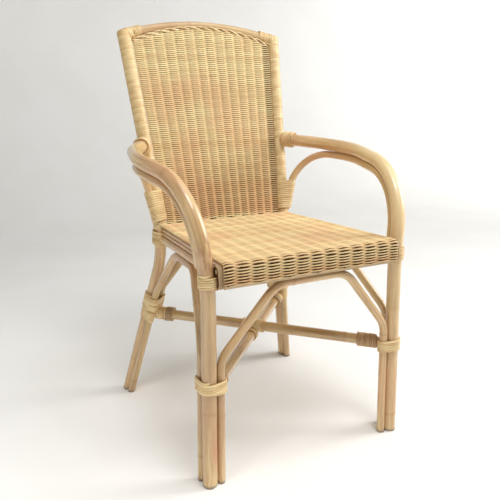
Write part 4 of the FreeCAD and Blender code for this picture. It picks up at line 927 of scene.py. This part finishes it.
for level, (rear_side, _, _) in STRETCHERS.items():
    rear, front = stretcher_ends[level]
    for end, start, far, ending, inset in (
            ("rear", rear, front, rear_side, 27), ("front", front, rear, -rear_side, 32)):
        run = (far - start).normalized()
        base = start + run * inset * MM
        where = f"{end}_{'left' if ending < 0 else 'right'}"
        binding(f"stretcher_binding_{where}", base, run, [(base, STRETCHER)],
                turns=10, pitch=4.3, width=4.4, thickness=4.2, square=0.9, uneven=0.8,
                finish=BINDING if end == "rear" else GREYER_CANE)
        if end == "rear":
            base = start + run * (inset + 25) * MM
            binding(f"stretcher_collar_{where}", base, run, [(base, STRETCHER + 2.9)],
                    turns=4, pitch=4.6, width=4.7, thickness=3.0, square=0.8, uneven=0.3, finish=AGED)


# Woven back and seat


def bed_mesh(spots):
    """Surface that a weave lies on: rows of points from one side to the other, mapped 0 to 1."""
    rows, columns = len(spots), len(spots[0])
    mesh = bpy.data.meshes.new("bed")
    faces = [(r * columns + c, r * columns + c + 1, (r + 1) * columns + c + 1, (r + 1) * columns + c)
             for r in range(rows - 1) for c in range(columns - 1)]
    mesh.from_pydata([spot[0] for line in spots for spot in line], [], faces)
    layer = mesh.attributes.new("bed", "FLOAT_VECTOR", "POINT")
    layer.data.foreach_set("vector", [value for line in spots for spot in line for value in (*spot[1], 0.0)])
    for face in mesh.polygons:
        face.use_smooth = True
    return mesh


# The back lies along the posts, a little ahead of their axes; levels are measured up its slope
WEAVE_START, WEAVE_AHEAD, WEAVE_INSET = 451, 6, 14.6
back_up = Vector((0, 111, 447)).normalized()
back_ahead = Vector((0, -back_up.z, back_up.y))
back_foot = Vector((0, post_axis(1, WEAVE_START).y, WEAVE_START * MM)) + back_ahead * WEAVE_AHEAD * MM
BACK_FOOT, BACK_ENDS, BACK_CROWN = [rise * MM / back_up.z for rise in (-5.8, 405.7, 35.5)]
BACK_TALL = BACK_ENDS + BACK_CROWN - BACK_FOOT
BED_COLUMNS, BACK_BED_ROWS = 16, 24


def back_spot(across, level):
    """Point of the woven back: across from -1 to 1, level up its slope from the foot of the posts' wraps."""
    half = post_axis(1, (back_foot.z + level * back_up.z) / MM).x - WEAVE_INSET * MM
    return back_foot + back_up * level + Vector((across * half, 0, 0))


bed_shares = [column / BED_COLUMNS for column in range(BED_COLUMNS + 1)]
back_bed = []
for row in range(BACK_BED_ROWS + 1):
    up = row / BACK_BED_ROWS
    level = BACK_FOOT + BACK_TALL * up
    back_bed.append([(back_spot(2 * across - 1, level), (across, up)) for across in bed_shares])
pieces["back_weave"] = grow("back_weave_strands", WEAVE, bed_mesh(back_bed), WOVEN_BACK, {
    "Rows": 190, "Stakes": 14, "Points": 6, "Sides": 6, "Breadth": 5.1 * MM, "Thickness": 2.2 * MM,
    "Waist": 0.66, "Flat waist": 0.66, "Lift": 1.5 * MM, "Margin": 0.43, "Pairing": 0.38,
    "Crown": BACK_CROWN / BACK_TALL, "Rim share": 0.78, "Hem share": 1.0, "Hem lift": 1.0,
    "Unevenness": 0.3, "Seed": 3.0})

# A dark stake behind the right edge of the back: its dark brown is painted shade in the gaps beside the
# post.
beside_edge = back_ahead * 2.5 * MM + Vector((5 * MM, 0, 0))
rim_line = [back_spot(1.0, level) - beside_edge for level in (0.0, BACK_ENDS)]
pole("back_rim_stake", rim_line, 4.0, finish=SHADED_STAKE)
foot_line = [back_spot(across, BACK_FOOT) - back_ahead * 4 * MM for across in (-0.98, 0.98)]
pole("back_foot_strand", foot_line, 3.5, finish=GREYER_CANE)

# Seat: heights of its middle and the apron's foot, depths of its edges, the bend between and the half widths
SEAT_MID, APRON_LOW = 445.0, 405.0
SEAT_FRONT, SEAT_REAR, SEAT_BEND = -29.0, 367.9, 11.0
SEAT_FRONT_HALF, SEAT_REAR_HALF = 197.5, 169.5
FLAT_STEPS, BEND_STEPS, DROP_STEPS = 20, 8, 4


def seat_profile():
    """Depths and heights along the middle of the seat's weave, from its rear edge to the apron's foot."""
    flat_end, bend_low = SEAT_FRONT + SEAT_BEND, SEAT_MID - SEAT_BEND
    flat = [(SEAT_REAR + (flat_end - SEAT_REAR) * step / FLAT_STEPS, SEAT_MID) for step in range(FLAT_STEPS)]
    angles = [math.pi / 2 * step / BEND_STEPS for step in range(BEND_STEPS + 1)]
    bend = [(flat_end - SEAT_BEND * math.sin(angle), bend_low + SEAT_BEND * math.cos(angle))
            for angle in angles]
    drop = [(SEAT_FRONT, bend_low + (APRON_LOW - bend_low) * step / DROP_STEPS)
            for step in range(1, DROP_STEPS + 1)]
    return flat + bend + drop


profile = seat_profile()
lengths = [0.0]
for (depth, height), (next_depth, next_height) in zip(profile, profile[1:]):
    lengths.append(lengths[-1] + math.hypot(next_depth - depth, next_height - height))
seat_bed = []
for (depth, height), length in zip(profile, lengths):
    share = (depth - SEAT_FRONT) / (SEAT_REAR - SEAT_FRONT)
    half = SEAT_FRONT_HALF + (SEAT_REAR_HALF - SEAT_FRONT_HALF) * share
    seat_bed.append([(at(half * (1 - 2 * across), depth, height), (across, length / lengths[-1]))
                     for across in bed_shares])
pieces["seat_weave"] = grow("seat_weave_strands", WEAVE, bed_mesh(seat_bed), WOVEN_SEAT, {
    "Rows": 160, "Stakes": 13, "Points": 6, "Sides": 6, "Breadth": 4.7 * MM, "Thickness": 2.4 * MM,
    "Waist": 0.7, "Flat waist": 1.05, "Lift": 1.95 * MM, "Margin": 0.24, "Pairing": 0.25, "Crown": 0.0,
    "Rim share": 0.9, "Hem share": 0.8, "Hem lift": 1.42, "Unevenness": 0.5, "Seed": 11.0})

apron_foot = [at(across * 197, SEAT_FRONT, 403.2) for across in (-1, 1)]
pole("apron_border", apron_foot, 3.2, finish=AGED)

# Twisted edging along the top of the back

edging_ends = [back_spot(across, BACK_ENDS) + back_up * 3.2 * MM for across in (-0.99, 0.99)]
chord = (edging_ends[1] - edging_ends[0]).length
edging_radius = chord ** 2 / (8 * BACK_CROWN) + BACK_CROWN / 2
half_angle = math.asin(chord / 2 / edging_radius)
past_chord = edging_radius * (1 / math.cos(half_angle) - math.cos(half_angle))
apex = between(*edging_ends, 0.5) + back_up * past_chord
edging_line = line_mesh([edging_ends[0], apex, edging_ends[1]], [edging_radius * 0.999])
pieces["back_edging"] = grow("back_edging_twist", TWIST, edging_line, TWISTED,
                             {"Strand": 5.0 * MM, "Lay": 54 * MM, "Step": 3 * MM, "Sides": 10})


# Lashing at the crossing of the stretchers


rear, front = stretcher_ends["upper"]
lower_rear, lower_front = stretcher_ends["lower"]
run, other = (front - rear).normalized(), (lower_front - lower_rear).normalized()
offset = lower_rear - rear
share = (offset.x * other.y - offset.y * other.x) / (run.x * other.y - run.y * other.x)
crossing = rear + run * share
base = crossing - run * 27 * MM
binding("crossing_binding", base, run, [(base, STRETCHER)],
        turns=15, pitch=3.6, width=3.7, thickness=3.0, square=0.9, uneven=0.4)
base = lower_rear + other * (crossing - lower_rear).dot(other) + other * 10 * MM
binding("crossing_lashing_lower", base, other, [(base, STRETCHER)],
        turns=6, pitch=2.9, width=3.0, thickness=3.0, square=0.9, uneven=0.5)
turns, pitch = 7, 2.8
slant, laid = (run + UP * 0.5).normalized(), turns * pitch * MM
base = crossing - run * 4 * MM
last = base + run * (laid / run.dot(slant)) - slant * laid
binding("crossing_lashing_upper", base, slant, [(base, STRETCHER + 1.9)],
        turns=turns, pitch=pitch, width=2.9, thickness=2.6, square=0.9, uneven=0.5,
        held_last=[(last, STRETCHER + 1.9)])


# Pieces take their place on the frame

for node, piece in pieces.items():
    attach(piece, "root")
    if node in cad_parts:
        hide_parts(node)
# The stakes take the dark core finish: painted shade where they show between the strands.
for label in ("back_stakes", "seat_stakes"):
    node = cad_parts[label]
    node.data.materials.clear()
    node.data.materials.append(SHADED_STAKE)


# Floor, backdrop, light and camera


def backdrop():
    """Pale paper sweep: level floor that curves up into the wall behind the chair."""
    front, bend_start, bend, top, half = -3.2, 2.2, 1.2, 5.0, 6.0
    bend_steps = 16
    angles = [math.pi / 2 * step / bend_steps for step in range(1, bend_steps + 1)]
    line = [(front, 0.0), (bend_start, 0.0)]
    line += [(bend_start + bend * math.sin(angle), bend * (1 - math.cos(angle))) for angle in angles]
    line.append((bend_start + bend, top))
    mesh = bpy.data.meshes.new("paper_sweep")
    verts = [(x, y, z) for y, z in line for x in (-half, half)]
    faces = [(2 * i, 2 * i + 1, 2 * i + 3, 2 * i + 2) for i in range(len(line) - 1)]
    mesh.from_pydata(verts, [], faces)
    for face in mesh.polygons:
        face.use_smooth = True
    sweep = bpy.data.objects.new("paper_sweep", mesh)
    bpy.context.scene.collection.objects.link(sweep)
    f = FinishBench("matte_paper", Roughness=0.9, Specular_IOR_Level=0.1)
    grain = f.noise(f.own_place(), 3.0, 2.0)
    f.to("Base Color", f.mix(f.ease(grain, 0.3, 0.7), shade(247, 246, 242), shade(250, 249, 246)))
    mesh.materials.append(f.material)


def lamp(name, spot, aim, size, power, beam=180):
    """Square soft light at a spot, turned to what it lights; its beam in degrees."""
    light = bpy.data.lights.new(name, "AREA")
    light.energy, light.size, light.spread = power, size, math.radians(beam)
    holder = bpy.data.objects.new(name, light)
    holder.location = spot
    holder.rotation_euler = (Vector(aim) - Vector(spot)).to_track_quat("-Z", "Y").to_euler()
    bpy.context.scene.collection.objects.link(holder)


backdrop()
lamp("overhead_softbox", spot=(0.35, -0.65, 2.7), aim=(0.05, -0.1, 0.4), size=1.6, power=17)
lamp("overhead_key", spot=(-0.03, -1.08, 2.4), aim=(-0.1, -0.1, 0.4), size=0.8, power=20)
lamp("right_fill", spot=(2.2, -0.7, 1.5), aim=(0.0, 0.0, 0.45), size=1.2, power=44)
lamp("wall_wash", spot=(4.2, 0.9, 2.0), aim=(4.3, 3.2, 0.7), size=1.4, power=70)
lamp("floor_wash", spot=(-1.7, -0.9, 1.2), aim=(-1.6, -0.6, 0.0), size=0.9, power=15, beam=100)
world = bpy.data.worlds.new("soft_room")
world.use_nodes = True
room = world.node_tree.nodes["Background"]
room.inputs["Color"].default_value = (1.0, 0.985, 0.96, 1.0)
room.inputs["Strength"].default_value = 0.25
bpy.context.scene.world = world
bpy.context.scene.view_settings.view_transform = "Standard"

CAMERA_SPOT, CAMERA_LENS = (-0.6424, -1.20615, 0.7247), 44.31
turn, tilt, roll = [math.radians(angle) for angle in (-27.91, 13.66, -0.5)]
back = Vector((math.sin(turn) * math.cos(tilt), -math.cos(turn) * math.cos(tilt), math.sin(tilt)))
level = (-back).cross(UP).normalized()
upright = level.cross(-back)
right = level * math.cos(roll) + upright * math.sin(roll)
above = upright * math.cos(roll) - level * math.sin(roll)
camera = bpy.data.objects.new("camera", bpy.data.cameras.new("camera"))
camera.data.lens = CAMERA_LENS
camera.data.sensor_width = 36.0
facing = Matrix((right, above, back)).transposed().to_4x4()
camera.matrix_world = Matrix.Translation(CAMERA_SPOT) @ facing
bpy.context.scene.collection.objects.link(camera)
bpy.context.scene.camera = camera
